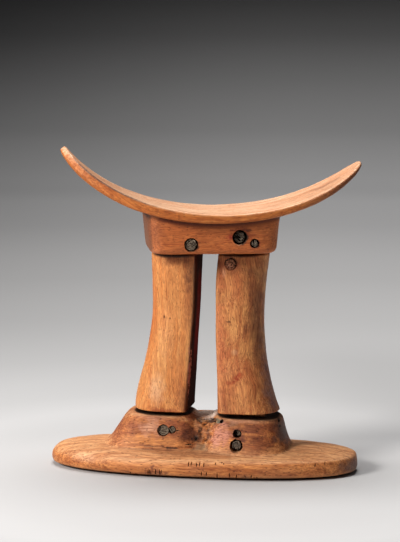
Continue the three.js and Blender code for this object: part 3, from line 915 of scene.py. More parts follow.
rest = {
    "halfArc": 90.4,
    "halfDepth": 33.1,
    "planPower": 2.13,
    "middleRadius": 147.0,
    "lean": math.radians(-2.3),
    "skew": math.radians(-3.0),
    "curl": math.radians(13.4),
    "middleZ": 145.3,
    "rim": [  # its thickness, from the left tip at -1 to the right tip at 1
        (-1, 3.4), (-0.9, 4.6), (-0.75, 5.3), (-0.5, 5.7), (-0.2, 5.0),
        (0.1, 4.1), (0.45, 3.6), (0.72, 2.9), (0.9, 2.1), (1, 1.6),
    ],
    "belly": 6.6,
    "arris": 0.45,
    "leftBevel": 0.3,  # how much wider the worn edge is on the left arm
    "bevelFrom": (-8, -48),
}
block = {
    "x": 0.35,
    "bottomZ": 122.8,
    "sunk": 2.0,  # how far its top reaches into the neck rest
    "topHalfWidth": 37.2,
    "topHalfDepth": 27.2,
    "bottomHalfWidth": 34.9,
    "bottomHalfDepth": 25.4,
    "corner": 3.0,
    "planPower": 7.0,
}
headSurface = {"voxel": 0.6, "smoothing": 3, "lumps": [(16, 1, 0.18), (5, 2, 0.06)]}


def walkArc(steps=400):
    s = np.linspace(-rest["halfArc"], rest["halfArc"], steps + 1)
    u = s / rest["halfArc"]
    slope = rest["lean"] + s / rest["middleRadius"] + rest["skew"] * u**2 + rest["curl"] * u**3
    ds = s[1] - s[0]
    half = (slope[1:] + slope[:-1]) / 2
    x = np.concatenate([[0], np.cumsum(np.cos(half) * ds)])
    z = np.concatenate([[0], np.cumsum(np.sin(half) * ds)])
    return s, x - x[steps // 2], z - z[steps // 2] + rest["middleZ"]


arcS, arcX, arcZ = walkArc()


def polyline(name, points):
    curve = bpy.data.curves.new(name, "CURVE")
    curve.dimensions = "3D"
    spline = curve.splines.new("POLY")
    spline.points.add(len(points) - 1)
    for point, at in zip(spline.points, points):
        point.co = (*at, 1)
    return link(curve, name)


def newShapeTree(name, inputs):
    inputs = [("Geometry", "Geometry", None), *inputs, ("Material", "Material", None)]
    tree, given = newTree("GeometryNodeTree", name, inputs, [("Geometry", "Geometry")])
    tree.is_modifier = True
    return tree, given


def closeShapeTree(tree, given, geometry):
    real = add(tree, "GeometryNodeRealizeInstances", None, {"Geometry": geometry}).outputs[0]
    inputs = {"Geometry": real, "Material": given["Material"]}
    shown = add(tree, "GeometryNodeSetMaterial", None, inputs).outputs[0]
    add(tree, "NodeGroupOutput", None, {0: shown})
    return tree


def shaped(piece, tree, values):  # values go by the names of the tree's inputs
    shape = piece.modifiers.new("shape", "NODES")
    shape.node_group = tree
    for item in tree.interface.items_tree:
        if item.in_out == "INPUT" and item.name in values:
            shape[item.identifier] = values[item.name]
    return evaluated(piece)


def makeBendTree():
    tree, given = newShapeTree("bendAlongArc", [("Arc", "Object", None), ("Half Arc", "Float", None)])
    at = split(tree, add(tree, "GeometryNodeInputPosition").outputs[0])
    arc = add(tree, "GeometryNodeObjectInfo", None, {"Object": given["Arc"]}).outputs["Geometry"]
    inputs = {"Curves": arc, "Length": sums(tree, "ADD", at[0], given["Half Arc"])}
    sample = add(tree, "GeometryNodeSampleCurve", {"mode": "LENGTH"}, inputs).outputs
    run = split(tree, sample["Tangent"])
    up = xyz(tree, sums(tree, "MULTIPLY", run[2], -1.0), 0.0, run[0])
    place = vectorSums(tree, "ADD", sample["Position"], scaled(tree, up, at[2]))
    place = vectorSums(tree, "ADD", place, xyz(tree, 0.0, at[1]))
    inputs = {"Geometry": given["Geometry"], "Position": place}
    bent = add(tree, "GeometryNodeSetPosition", None, inputs).outputs[0]
    return closeShapeTree(tree, given, bent)


def makePlank():  # the neck rest laid flat, with its upper face at zero
    halfArc, halfDepth, arris = rest["halfArc"], rest["halfDepth"], rest["arris"]

    def rimAt(s):
        return np.interp(s / halfArc, *zip(*rest["rim"]))

    def ring(inset, scale, drop):
        s, y = oval(260, (halfArc - inset) * scale, (halfDepth - inset) * scale, rest["planPower"])
        return stacked(s, y, -drop(s))

    scales = np.sin(np.linspace(0.05, 1, 26) * np.pi / 2)[:-1]
    rings = []
    for q in scales:
        rings.append(ring(0, q, lambda s: rimAt(s) + (rest["belly"] - rimAt(s)) * (1 - q * q) ** 0.6))
    for c, s0 in quarter(5):  # the lower edge of the rim, rounded
        rings.append(ring(arris * (1 - s0), 1, lambda s: rimAt(s) - arris + arris * c))
    edge = ring(0, 1, lambda s: 0 * s)
    wide = arris + rest["leftBevel"] * smoothStep(*rest["bevelFrom"], edge[:, 0])
    for c, s0 in quarter(5):  # the upper edge
        shrink = 1 - wide * (1 - c) / halfDepth
        rings.append(stacked(edge[:, 0] * shrink, edge[:, 1] * shrink, -wide * (1 - s0)))
    last = rings[-1]
    for q in scales[::-1]:
        rings.append(last * np.array([q, q, 0.0]))
    return skin("plank", (0, 0, -rest["belly"]), rings, (0, 0, 0), place=False)


def makeNeckRest():
    plank = makePlank()
    arc = polyline("neckArc", stacked(arcX, 0, arcZ))
    shaped(plank, makeBendTree(), {"Arc": arc, "Half Arc": rest["halfArc"], "Material": restWood})
    bpy.data.objects.remove(arc)
    return moveTo(plank, toRow(coordinates(plank), True))


def makeBlock():
    corner, low, high = block["corner"], block["bottomZ"], rest["middleZ"]

    def ring(z, inset, followArc=False):
        share = (z - low) / (high - low)
        width = block["bottomHalfWidth"] + share * (block["topHalfWidth"] - block["bottomHalfWidth"])
        depth = block["bottomHalfDepth"] + share * (block["topHalfDepth"] - block["bottomHalfDepth"])
        x, y = oval(200, width - inset, depth - inset, block["planPower"])
        x = x + block["x"]
        return stacked(x, y, np.interp(x, arcX, arcZ) - block["sunk"] if followArc else z)

    rings = [ring(low, corner + d) for d in (20, 14, 8, 4)]
    rings += [ring(low + corner * (1 - c), corner * (1 - s)) for c, s in quarter(7)]
    rings += [ring(z, 0) for z in np.linspace(low + corner + 1, 143, 10)]
    rings.append(ring(high, 0, True))
    top = float(np.interp(block["x"], arcX, arcZ)) - block["sunk"]
    return skin("block", (block["x"], 0, low), rings, (block["x"], 0, top), True)


def along(stations, field, z):  # a smooth curve through one field of the stations
    zs = np.array([s["z"] for s in stations])
    vs = np.array([s[field] for s in stations])
    z = np.asarray(z, float)
    i = np.clip(np.searchsorted(zs, z, "right") - 1, 0, len(zs) - 2)
    slope = np.empty(len(zs))
    slope[1:-1] = (vs[2:] - vs[:-2]) / (zs[2:] - zs[:-2])
    slope[0] = (vs[1] - vs[0]) / (zs[1] - zs[0])
    slope[-1] = (vs[-1] - vs[-2]) / (zs[-1] - zs[-2])
    span = zs[i + 1] - zs[i]
    t = (z - zs[i]) / span
    t2, t3 = t * t, t * t * t
    return (
        (2 * t3 - 3 * t2 + 1) * vs[i]
        + (t3 - 2 * t2 + t) * span * slope[i]
        + (3 * t2 - 2 * t3) * vs[i + 1]
        + (t3 - t2) * span * slope[i + 1]
    )


def station(z, flat, outer, y, depth):  # height, x of the flat face and of the round side, middle, half depth
    return {"z": z, "flat": flat, "outer": outer, "y": y, "depth": depth}


leftColumn = {
    "side": 1,  # which way its flat face looks
    "stations": [
        station(33.4, -6.8, -38.4, 0.0, 17.0),
        station(37.6, -6.6, -38.2, -0.2, 16.6),
        station(47.0, -5.9, -36.4, -0.6, 15.6),
        station(60.0, -4.9, -32.8, -1.2, 14.4),
        station(74.0, -3.9, -29.9, -1.8, 13.6),
        station(88.0, -2.8, -28.1, -2.4, 13.2),
        station(105.0, -1.9, -27.9, -3.2, 13.4),
        station(121.6, -1.1, -28.2, -3.9, 14.0),
    ],
    "lumps": [(20, 4, 0.1), (5, 9, 0.05)],
}
rightColumn = {
    "side": -1,
    "stations": [
        station(33.4, 10.1, 43.4, 0.0, 17.4),
        station(40.0, 9.9, 40.9, 0.4, 16.4),
        station(51.0, 9.5, 37.9, 1.1, 15.2),
        station(62.0, 8.8, 35.7, 1.7, 14.3),
        station(75.0, 8.3, 34.4, 2.5, 13.7),
        station(88.0, 8.1, 33.9, 3.3, 13.4),
        station(105.0, 8.0, 34.9, 4.3, 13.7),
        station(121.0, 9.2, 36.7, 5.3, 14.4),
    ],
    "lumps": [(20, 2, 0.1), (5, 7, 0.05)],
}
columnsPartAt = 2.0  # the x of the daylight between them
section = {"flatPower": 9.0, "roundPower": 2.15, "axisShare": 0.46, "worn": 0.6}
tenon = {
    "upper": (9.0, 6.5, 12.5),  # half width, half depth, height
    "lower": (10.0, 7.0, 18.0),
    "power": 7.0,
    "slack": 0.4,
}


def columnRing(column, z, inset, n):
    flat, outer, y, depth = (float(along(column["stations"], f, z)) for f in ("flat", "outer", "y", "depth"))
    side, width = column["side"], abs(outer - flat)
    axis = flat - side * width * section["axisShare"]
    t = np.linspace(0, 2 * np.pi, n, endpoint=False)
    c, s = np.cos(t), np.sin(t)
    toFlat = c * side > 0
    power = np.where(toFlat, section["flatPower"], section["roundPower"])
    reach = np.where(toFlat, width * section["axisShare"], width * (1 - section["axisShare"])) - inset
    x = axis + np.sign(c) * reach * np.abs(c) ** (2 / power)
    dy = np.sign(s) * (depth - inset) * np.abs(s) ** (2 / power)
    return stacked(x, y + dy, z)


def tenonRing(centre, z, size, n, slack=0.0):
    x, y = oval(n, size[0] + slack, size[1] + slack, tenon["power"])
    return stacked(centre[0] + x, centre[1] + y, z)


def columnAxis(column, end):
    at = column["stations"][end]
    return at["flat"] + (at["outer"] - at["flat"]) * section["axisShare"], at["y"], at["z"]


def makeColumn(name, column):
    n = 220
    low, high = columnAxis(column, 0), columnAxis(column, -1)
    lower, upper, worn = tenon["lower"], tenon["upper"], section["worn"]
    foot, head = low[2] - lower[2], high[2] + upper[2]
    shoulders, root = (4.0, 2.0, 0.8), 0.02
    rings = [tenonRing(low, foot, lower, n), tenonRing(low, low[2] - root, lower, n)]
    rings += [columnRing(column, low[2], worn + d, n) for d in shoulders]
    rings += [columnRing(column, low[2] + worn * (1 - c), worn * (1 - s), n) for c, s in quarter(6)]
    for z in np.linspace(low[2] + worn + 0.4, high[2] - worn - 0.4, 150):
        rings.append(columnRing(column, z, 0, n))
    rings += [columnRing(column, high[2] - worn * (1 - s), worn * (1 - c), n) for c, s in quarter(6)]
    rings += [columnRing(column, high[2], worn + d, n) for d in shoulders[::-1]]
    rings += [tenonRing(high, high[2] + root, upper, n), tenonRing(high, head, upper, n)]
    piece = skin(name, (low[0], low[1], foot), rings, (high[0], high[1], head))
    co = coordinates(piece)
    z = fromRow(co)[:, 2]
    onShaft = smoothStep(low[2], low[2] + 3, z) * (1 - smoothStep(high[2] - 3, high[2], z))
    return pushed(piece, onShaft * handWorked(co, column["lumps"]))


def makeMortises(end, size, up):
    cutters = []
    slack = tenon["slack"]
    for column in (leftColumn, rightColumn):
        at = columnAxis(column, end)
        deep = at[2] + size[2] + slack if up else at[2] - size[2] - slack
        mouth = at[2] - 3 if up else at[2] + 3
        z0, z1 = min(deep, mouth), max(deep, mouth)
        rings = [tenonRing(at, z, size, 48, slack) for z in (z0, z1)]
        cutters.append(skin("mortise", (at[0], at[1], z0), rings, (at[0], at[1], z1)))
    return joined("mortises", cutters)


def contour(z, left, right, front, back, power):
    return {"z": z, "left": left, "right": right, "front": front, "back": back, "power": power}


foot = {
    "plank": {
        "halfLength": 87.0,
        "halfDepth": 35.0,
        "power": 2.33,
        "topZ": 14.1,
        "crispFrom": (-0.55, 0.75),  # as shares of the half length
        # inset and height of the edge: worn soft on the left, still crisp on the right
        "soft": [
            (6.4, 0.0), (4.2, 0.8), (0.9, 1.7), (0.0, 4.0), (0.4, 6.8),
            (2.0, 9.0), (5.0, 10.9), (11.5, 12.3), (21.0, 13.4), (32.0, 14.0),
        ],
        "crisp": [
            (6.2, 0.0), (4.0, 0.8), (0.7, 1.6), (0.0, 3.4), (0.1, 6.6),
            (0.5, 9.0), (1.2, 10.2), (4.2, 10.9), (13.0, 12.3), (28.0, 13.8),
        ],
    },
    "leftBoss": {
        "at": (-22, 0),
        "topZ": 32.5,
        "contours": [
            contour(10.5, 38.0, 28.6, 21.4, 24.0, 2.8),
            contour(12.6, 35.4, 28.6, 20.8, 22.4, 2.9),
            contour(14.5, 32.8, 28.2, 20.2, 21.0, 3.0),
            contour(17.0, 30.0, 27.6, 19.4, 19.8, 3.1),
            contour(21.5, 27.0, 25.4, 18.5, 18.8, 3.1),
            contour(26.5, 23.8, 21.6, 17.8, 18.2, 3.1),
            contour(31.0, 20.6, 18.0, 17.3, 17.7, 3.0),
            contour(32.2, 18.6, 16.4, 16.2, 16.6, 3.0),
        ],
    },
    "rightBoss": {
        "at": (25, 0),
        "topZ": 31.6,
        "contours": [
            contour(9.8, 27.6, 28.4, 25.8, 25.4, 2.8),
            contour(12.0, 27.2, 25.8, 24.8, 23.6, 2.9),
            contour(14.5, 26.2, 24.2, 23.2, 21.8, 3.0),
            contour(17.5, 25.0, 22.9, 21.6, 20.6, 3.0),
            contour(22.0, 23.4, 21.4, 20.0, 19.4, 3.0),
            contour(26.5, 21.0, 20.2, 18.6, 18.6, 3.0),
            contour(30.0, 18.8, 19.1, 17.7, 18.0, 3.0),
            contour(31.2, 16.8, 18.2, 16.8, 17.0, 3.0),
        ],
    },
    "saddle": {
        "at": (2, 1),
        "topZ": 29.6,
        "contours": [
            contour(10.5, 28.0, 26.0, 20.4, 24.0, 3.6),
            contour(14.5, 26.0, 24.0, 18.6, 20.6, 3.6),
            contour(21.0, 24.0, 22.0, 16.4, 18.6, 3.6),
            contour(26.0, 22.0, 20.0, 14.0, 17.4, 3.6),
            contour(28.6, 20.0, 18.0, 11.4, 15.8, 3.6),
        ],
    },
}
footSurface = {"voxel": 0.62, "smoothing": 3, "lumps": [(18, 4, 0.22), (6, 5, 0.07)]}
damage = [  # the worn valley between the bosses: where, how far in, and its lumps
    {"at": (3.5, -17, 20), "size": (6.5, 8, 9), "depth": 0.9, "lump": 2.4, "amount": 1.1},
    {"at": (5.5, -12, 27.5), "size": (9.5, 7, 5), "depth": 1.2, "lump": 2.2, "amount": 1.6},
    {"at": (-4, -18, 20), "size": (8, 6, 8), "depth": 0.1, "lump": 3.0, "amount": 0.35},
    {"at": (6, 3, 30), "size": (7, 12, 5), "depth": -0.8, "lump": 3.5, "amount": 0.8},
]
gaps = [  # how far each boss sinks under its column, from its left to its right
    {"from": -44, "to": -4, "left": 0.1, "right": 1.2},
    {"from": 6, "to": 45, "left": 0.1, "right": 1.1},
]


def makeFootPlank(n=300):
    plank = foot["plank"]
    t = np.linspace(0, 2 * np.pi, n, endpoint=False)
    crisp = smoothStep(*plank["crispFrom"], np.cos(t))
    rings = []
    for soft, hard in zip(plank["soft"], plank["crisp"]):
        inset = soft[0] + (hard[0] - soft[0]) * crisp
        z = soft[1] + (hard[1] - soft[1]) * crisp
        x, y = oval(n, plank["halfLength"] - inset, plank["halfDepth"] - inset, plank["power"])
        rings.append(stacked(x, y, z))
    fine = [rings[0]]
    for i in range(len(rings) - 1):  # a smooth curve through the rings
        before, after = rings[max(i - 1, 0)], rings[min(i + 2, len(rings) - 1)]
        for u in (0.25, 0.5, 0.75, 1.0):
            a = (1 - u) * rings[i] + u * rings[i + 1]
            ease = 0.06 * u * (1 - u) * 4
            fine.append(a + ease * (rings[i] + rings[i + 1] - before - after))
    top = fine[-1]
    middle = np.array([0, 0, plank["topZ"]])
    for q in (0.7, 0.4):
        fine.append(middle + (top - middle) * np.array([q, q, q * q]))
    return skin("plankWood", (0, 0, 0), fine, (0, 0, plank["topZ"]))


def makeMound(name, mound, steps=4):
    n = 240
    contours = mound["contours"]
    x0, y0 = mound["at"]
    zs = [c["z"] for c in contours]
    fine = [np.linspace(a, b, steps, endpoint=False) for a, b in zip(zs, zs[1:])]
    rings = []
    for z in np.concatenate([*fine, [zs[-1]]]):
        values = {f: float(along(contours, f, z)) for f in ("left", "right", "front", "back", "power")}
        x, y = outline(n, **values)
        rings.append(stacked(x0 + x, y0 + y, z))
    last = rings[-1]
    for q in (0.85, 0.65, 0.4, 0.2):
        z = mound["topZ"] + (zs[-1] - mound["topZ"]) * q * q
        rings.append(stacked(x0 + (last[:, 0] - x0) * q, y0 + (last[:, 1] - y0) * q, z))
    return skin(name, (x0, y0, zs[0]), rings, (x0, y0, mound["topZ"]))


def gouge(at, size, turn, seed):  # a pointed hollow: its half length, depth and half width
    return {"at": at, "size": size, "turn": turn, "seed": seed}


gouges = {
    "foot": [
        gouge((-14.5, -20.4, 13.9), (7.5, 0.6, 0.18), -0.06, 1),
        gouge((-26, -20.4, 14.4), (6.5, 0.5, 0.16), -0.02, 2),
        gouge((-12.5, -18.4, 23.4), (2.6, 1.8, 0.6), 0.1, 3),
        gouge((43.8, -7.6, 28.8), (2.6, 1.6, 0.5), 1.4, 4),
        gouge((5.2, -11.6, 29.0), (6.8, 3.4, 0.9), -0.05, 5),
        gouge((-1.6, -13.2, 29.0), (3.6, 3.0, 1.1), -0.35, 16),
        gouge((7.6, -13.4, 27.6), (3.2, 2.6, 0.5), 0.3, 17),
        gouge((13.0, -15.4, 28.9), (1.7, 2.0, 1.0), 0.6, 6),
        gouge((-1.2, -16.9, 18.9), (1.9, 1.6, 1.0), 0.6, 7),
        gouge((1.8, -15.6, 23.4), (1.8, 1.7, 0.6), 1.2, 8),
        gouge((4.6, -16.2, 19.0), (2.8, 1.4, 0.45), 1.5, 9),
        gouge((-4.5, -18.6, 15.9), (3.4, 1.4, 0.45), 0.1, 10),
    ],
    "left": [
        gouge((-19.5, -15.5, 86.7), (1.5, 0.8, 0.42), 1.4, 11),
        gouge((-16.1, -16.0, 86.0), (1.0, 0.6, 0.35), 1.2, 12),
        gouge((-9.5, -15.4, 104.0), (1.2, 0.5, 0.3), 1.5, 13),
    ],
    "right": [
        gouge((15.9, -11.2, 84.0), (2.2, 0.7, 0.3), 0.45, 14),
        gouge((18.3, -11.6, 88.5), (1.2, 0.5, 0.25), 1.3, 15),
    ],
}
gougeRagged = 0.25


def makeGouge(at, size, turn, seed):
    n, count = 14, 18
    rng = np.random.default_rng(seed)
    t = np.linspace(0, 2 * np.pi, n, endpoint=False)
    rings = []
    for u in np.linspace(-0.97, 0.97, count):
        wide = (1 - abs(u) ** 1.7) * (1 + gougeRagged * rng.uniform(-1, 1))
        drift = gougeRagged * 0.5 * size[2] * math.sin(5 * u + seed)
        rings.append(stacked(u * size[0], np.cos(t) * size[1] * wide, np.sin(t) * size[2] * wide + drift))
    shape = np.vstack([[(-size[0], 0, 0)], *rings, [(size[0], 0, 0)]])
    x, z = turnedBy(shape[:, 0], shape[:, 2], turn)
    shape = stacked(x, shape[:, 1], z) + np.array(at)
    middle = [shape[1 + k * n : 1 + (k + 1) * n] for k in range(count)]
    return skin("gouge", shape[0], middle, shape[-1])


def carve(piece, key):
    for hollow in gouges[key]:
        cut(piece, makeGouge(**hollow))


checks = {  # short drying cracks along the front of the foot, in clusters
    "width": 0.32,
    "depth": 1.0,
    # the height and inset of the foot's edge
    "edge": [(0, 2.6), (1.3, 0.8), (4, 0), (7, 0.3), (9, 1.2), (10.2, 2.6)],
    "clusters": [
        {"from": -25.5, "to": -17.0, "count": 5, "height": 3.4, "length": 2.5},
        {"from": -35.5, "to": -32.5, "count": 2, "height": 1.9, "length": 1.2},
        {"from": -2.4, "to": 5.4, "count": 5, "height": 8.6, "length": 2.1},
        {"from": 5.0, "to": 7.2, "count": 2, "height": 4.0, "length": 3.0},
        {"from": 12.8, "to": 17.0, "count": 3, "height": 9.3, "length": 1.0},
        {"from": 13.2, "to": 14.4, "count": 1, "height": 3.0, "length": 2.4},
        {"from": 20.2, "to": 28.2, "count": 3, "height": 2.6, "length": 1.7},
        {"from": 31.6, "to": 35.6, "count": 3, "height": 2.2, "length": 1.2},
        {"from": 65.5, "to": 71.5, "count": 2, "height": 9.0, "length": 1.3},
    ],
}


def makeCheckTree():
    inputs = [
        ("Path", "Object", None),
        ("Count", "Int", 4),
        ("Length", "Float", 2.0),
        ("Width", "Float", 0.25),
        ("Depth", "Float", 1.0),
        ("Seed", "Int", 0),
    ]
    tree, given = newShapeTree("dryingChecks", inputs)
    path = add(tree, "GeometryNodeObjectInfo", None, {"Object": given["Path"]}).outputs["Geometry"]
    inputs = {"Curve": path, "Count": given["Count"]}
    spots = add(tree, "GeometryNodeCurveToPoints", {"mode": "COUNT"}, inputs).outputs["Points"]

    def chance(low, high, salt, kind="FLOAT"):
        seed = sums(tree, "ADD", given["Seed"], float(salt))
        node = add(tree, "FunctionNodeRandomValue", {"data_type": kind})
        fields = [i for i in node.inputs if i.enabled and i.name in ("Min", "Max")]
        fields[0].default_value, fields[1].default_value = low, high
        tree.links.new(seed, node.inputs["Seed"])
        return next(o for o in node.outputs if o.enabled)

    shift = chance((-0.8, 0.0, -0.7), (0.8, 0.0, 0.7), 1, "FLOAT_VECTOR")
    moved = add(tree, "GeometryNodeSetPosition", None, {"Geometry": spots, "Offset": shift}).outputs[0]
    spindle = add(tree, "GeometryNodeMeshUVSphere", None, {"Segments": 8, "Rings": 10, "Radius": 1.0})
    lean = chance((-0.05, -0.16, 0.0), (0.05, 0.16, 0.0), 2, "FLOAT_VECTOR")
    tall = sums(tree, "MULTIPLY", given["Length"], chance(0.35, 1.2, 3))
    size = xyz(tree, given["Width"], given["Depth"], tall)
    inputs = {"Points": moved, "Instance": spindle.outputs["Mesh"], "Rotation": lean, "Scale": size}
    return closeShapeTree(tree, given, add(tree, "GeometryNodeInstanceOnPoints", None, inputs).outputs[0])


def makeChecks():
    tree = makeCheckTree()
    pieces = []
    plank = foot["plank"]
    shared = {"Width": checks["width"], "Depth": checks["depth"], "Material": footWood}
    for seed, cluster in enumerate(checks["clusters"]):
        x = np.linspace(cluster["from"], cluster["to"], 6)
        depth = (1 - np.abs(x / plank["halfLength"]) ** plank["power"]) ** (1 / plank["power"])
        inset = np.interp(cluster["height"], *zip(*checks["edge"]))
        path = polyline("checkPath", stacked(x, -(plank["halfDepth"] - inset) * depth, cluster["height"]))
        values = {"Path": path, "Count": cluster["count"], "Length": cluster["length"], "Seed": 7 * seed + 3}
        pieces.append(shaped(link(bpy.data.meshes.new("checks"), "checks"), tree, {**values, **shared}))
        bpy.data.objects.remove(path)
    slits = joined("dryingChecks", pieces)
    return moveTo(slits, toRow(coordinates(slits)))


pegs = {
    "peg_head_left": {"x": -12.5, "z": 128.3, "radius": 3.2, "end": -26.4, "tip": 4, "turned": True},
    "peg_head_right": {"x": 14.0, "z": 132.2, "radius": 3.3, "end": -25.6, "tip": 4, "turned": True},
    "peg_head_small": {"x": 22.2, "z": 128.8, "radius": 2.0, "end": -26.2, "tip": 2, "turned": True},
    "peg_foot_left": {"x": -19.6, "z": 23.3, "radius": 2.9, "end": -17.3, "tip": 4},
    "peg_foot_left_small": {"x": -14.6, "z": 23.8, "radius": 1.7, "end": -17.3, "tip": 2},
    "peg_foot_right_small": {"x": 22.1, "z": 23.0, "radius": 1.9, "end": -18.8, "tip": 2},
    "peg_foot_right": {"x": 21.9, "z": 16.7, "radius": 3.0, "end": -21.0, "tip": 4},
}
pegEnds = {  # how each end looks: thinner by, set back by, rough, split depth and turn, hole wider by
    "peg_head_left": dict(thin=0.3, back=0.2, rough=1.6, split=0.4, turn=2.2, hole=0.25),
    "peg_head_right": dict(thin=0.5, back=0.45, rough=1.8, split=2.0, turn=1.0, hole=0.45, dark=True),
    "peg_head_small": dict(thin=0.35, back=0.3, rough=0.8, split=1.2, turn=0.2, hole=0.15, dark=True),
    "peg_foot_left": dict(thin=0.15, back=-0.1, rough=0.4, split=0.3, turn=1.4, hole=0.0),
    "peg_foot_left_small": dict(thin=0.1, back=0.0, rough=0.4, split=0.5, turn=0.4, hole=0.05),
    "peg_foot_right_small": dict(thin=0.4, back=0.9, rough=1.0, split=0.8, turn=0.0, hole=0.1, dark=True),
    "peg_foot_right": dict(thin=0.6, back=0.4, rough=0.5, split=1.0, turn=0.15, hole=0.25, dark=True),
}
pegRagged = 1.1
holes = {"slack": 0.4, "ragged": 1.4, "past": 12.0}
plug = {
    "x": 16.4,
    "z": 115.7,
    "radius": 3.1,
    "depth": 6.0,
    "end": {"Ragged": 0.5, "Seed": 9, "End Rough": 0.9, "Split": 0.2, "Split Turn": 0.8},
    "wider": 0.1,
    "back": 0.2,  # how far its end is set back
    "holeShift": 0.3,
    "holeExtra": -0.05,
}


def makePegTree():
    inputs = [
        ("Radius", "Float", 3.0),
        ("Length", "Float", 20.0),
        ("Ragged", "Float", 0.1),
        ("End Rough", "Float", 0.0),
        ("Split", "Float", 0.0),
        ("Split Turn", "Float", 0.0),
        ("Seed", "Float", 0.0),
    ]
    tree, given = newShapeTree("pegShape", inputs)
    inputs = {"Vertices": 56, "Side Segments": 24, "Fill Segments": 16}
    inputs.update({"Radius": given["Radius"], "Depth": given["Length"]})
    rod = add(tree, "GeometryNodeMeshCylinder", None, inputs).outputs["Mesh"]
    position = add(tree, "GeometryNodeInputPosition").outputs[0]
    at = split(tree, position)
    apart = xyz(tree, 0.0, 0.0, sums(tree, "MULTIPLY", given["Seed"], 31.7))
    own = vectorSums(tree, "ADD", position, apart)  # each peg's own stretch of the noise
    rough = sums(tree, "SUBTRACT", clouds(tree, own, 0.55, 3.0)[0], 0.5)
    rough = sums(tree, "MULTIPLY", rough, given["Ragged"])
    flat = xyz(tree, at[0], at[1])
    out = add(tree, "ShaderNodeVectorMath", {"operation": "NORMALIZE"}, {0: flat}).outputs[0]
    out = scaled(tree, out, rough)
    front = sums(tree, "MULTIPLY_ADD", given["Length"], 0.5, at[2])
    front = sums(tree, "LESS_THAN", front, 0.01)
    inputs = {"Vector": vectorSums(tree, "ADD", flat, apart), "Angle": given["Split Turn"]}
    turn = add(tree, "ShaderNodeVectorRotate", {"rotation_type": "Z_AXIS"}, inputs).outputs[0]
    stretched = vectorSums(tree, "MULTIPLY", turn, (0.85, 0.16, 1.0))
    cracks = ranged(tree, clouds(tree, stretched, 1.0, 2.0)[0], 0.5, 0.6)
    cracks = sums(tree, "MULTIPLY", cracks, given["Split"])
    lumpy = sums(tree, "MULTIPLY", clouds(tree, own, 0.9, 3.0)[0], given["End Rough"])
    inward = sums(tree, "MULTIPLY", sums(tree, "ADD", cracks, lumpy), front)
    out = vectorSums(tree, "ADD", out, xyz(tree, 0.0, 0.0, inward))
    shape = add(tree, "GeometryNodeSetPosition", None, {"Geometry": rod, "Offset": out}).outputs[0]
    return closeShapeTree(tree, given, shape)


pegTree = makePegTree()


def makeRod(name, at, radius, front, back, values, turned=False):
    rod = link(bpy.data.meshes.new(name), name)
    shaped(rod, pegTree, {"Radius": radius, "Length": back - front, **values})
    co = coordinates(rod)
    laid = stacked(co[:, 0] + at["x"], co[:, 2] + (front + back) / 2, -co[:, 1] + at["z"])
    return moveTo(rod, toRow(laid, turned))


def makeHole(peg, seed, extra=0.0):
    slack = holes["slack"] + extra
    front, back = peg["end"] - holes["past"], peg["tip"] + slack
    values = {"Ragged": holes["ragged"], "Seed": seed}
    return makeRod("hole", peg, peg["radius"] + slack, front, back, values, peg.get("turned", False))


def finishPeg(piece, material, slot, node):
    markWear(piece, 1, 0.3)
    markHollows(piece, 1)
    smooth(piece)
    finished(piece, material, slot, node)


def cutPegHoles(piece, names, firstSeed):
    for seed, name in enumerate(names):
        cut(piece, makeHole(pegs[name], firstSeed + seed, pegEnds[name]["hole"]))


onBlock = [("pastWidth", 1.5, -1.0), ("pastDepth", 1.5, -0.5), ("below", 5.2, 7.0)]
headMarks = {
    "rubbedArms": [("upward", -0.25, 0.35), ("x", -45, -5), ("x", 80, 50)],
    "rubbedBlock": [("z", 138, 132)],
    "onArc": [("below", 8.0, 5.5)],
    "blockFront": [("frontways", -0.2, -0.6)],
    # painted shade on the block's left side
    "blockSideShade": [*onBlock, ("sideways", -0.62, -0.9)],
    "blockCorner": [*onBlock, ("sideways", -0.2, -0.5), ("sideways", -0.86, -0.6), ("frontways", 0, -0.3)],
    # painted shadow under the rim, on the block's top
    "shadowUnderRim": [
        ("pastRim", 0.4, 1.2),
        ("pastRim", 4.4, 1.6),
        ("upward", 0.4, -0.1),
        ("fromMiddle", block["topHalfWidth"] + 3, block["topHalfWidth"] - 1),
    ],
    "rimLine": [  # the worn bevel of the left arm
        ("upward", 0.15, 0.45),
        ("upward", 0.97, 0.85),
        ("frontways", 0, -0.2),
        ("x", -14, -44),
        ("x", -80, -70),
        ("below", 1.6, 1.0),
    ],
    # painted shade on the right tip's lower faces
    "rightTip": [("x", 40, 80), ("upward", 0.75, 0.35), ("below", 7.0, 5.0)],
}
blockRubbed, blockFaceLeast = 0.5, 0.45  # how strongly its edges are rubbed, and its back coloured


def rubbedOnHeadpiece(piece):  # the arms' upper edges towards the middle, and the block's lower edges
    x, _, z = fromRow(coordinates(piece)).T
    fields = {"x": x, "z": z, "upward": normals(piece)[:, 2]}
    return marked(fields, headMarks["rubbedArms"]) + blockRubbed * marked(fields, headMarks["rubbedBlock"])


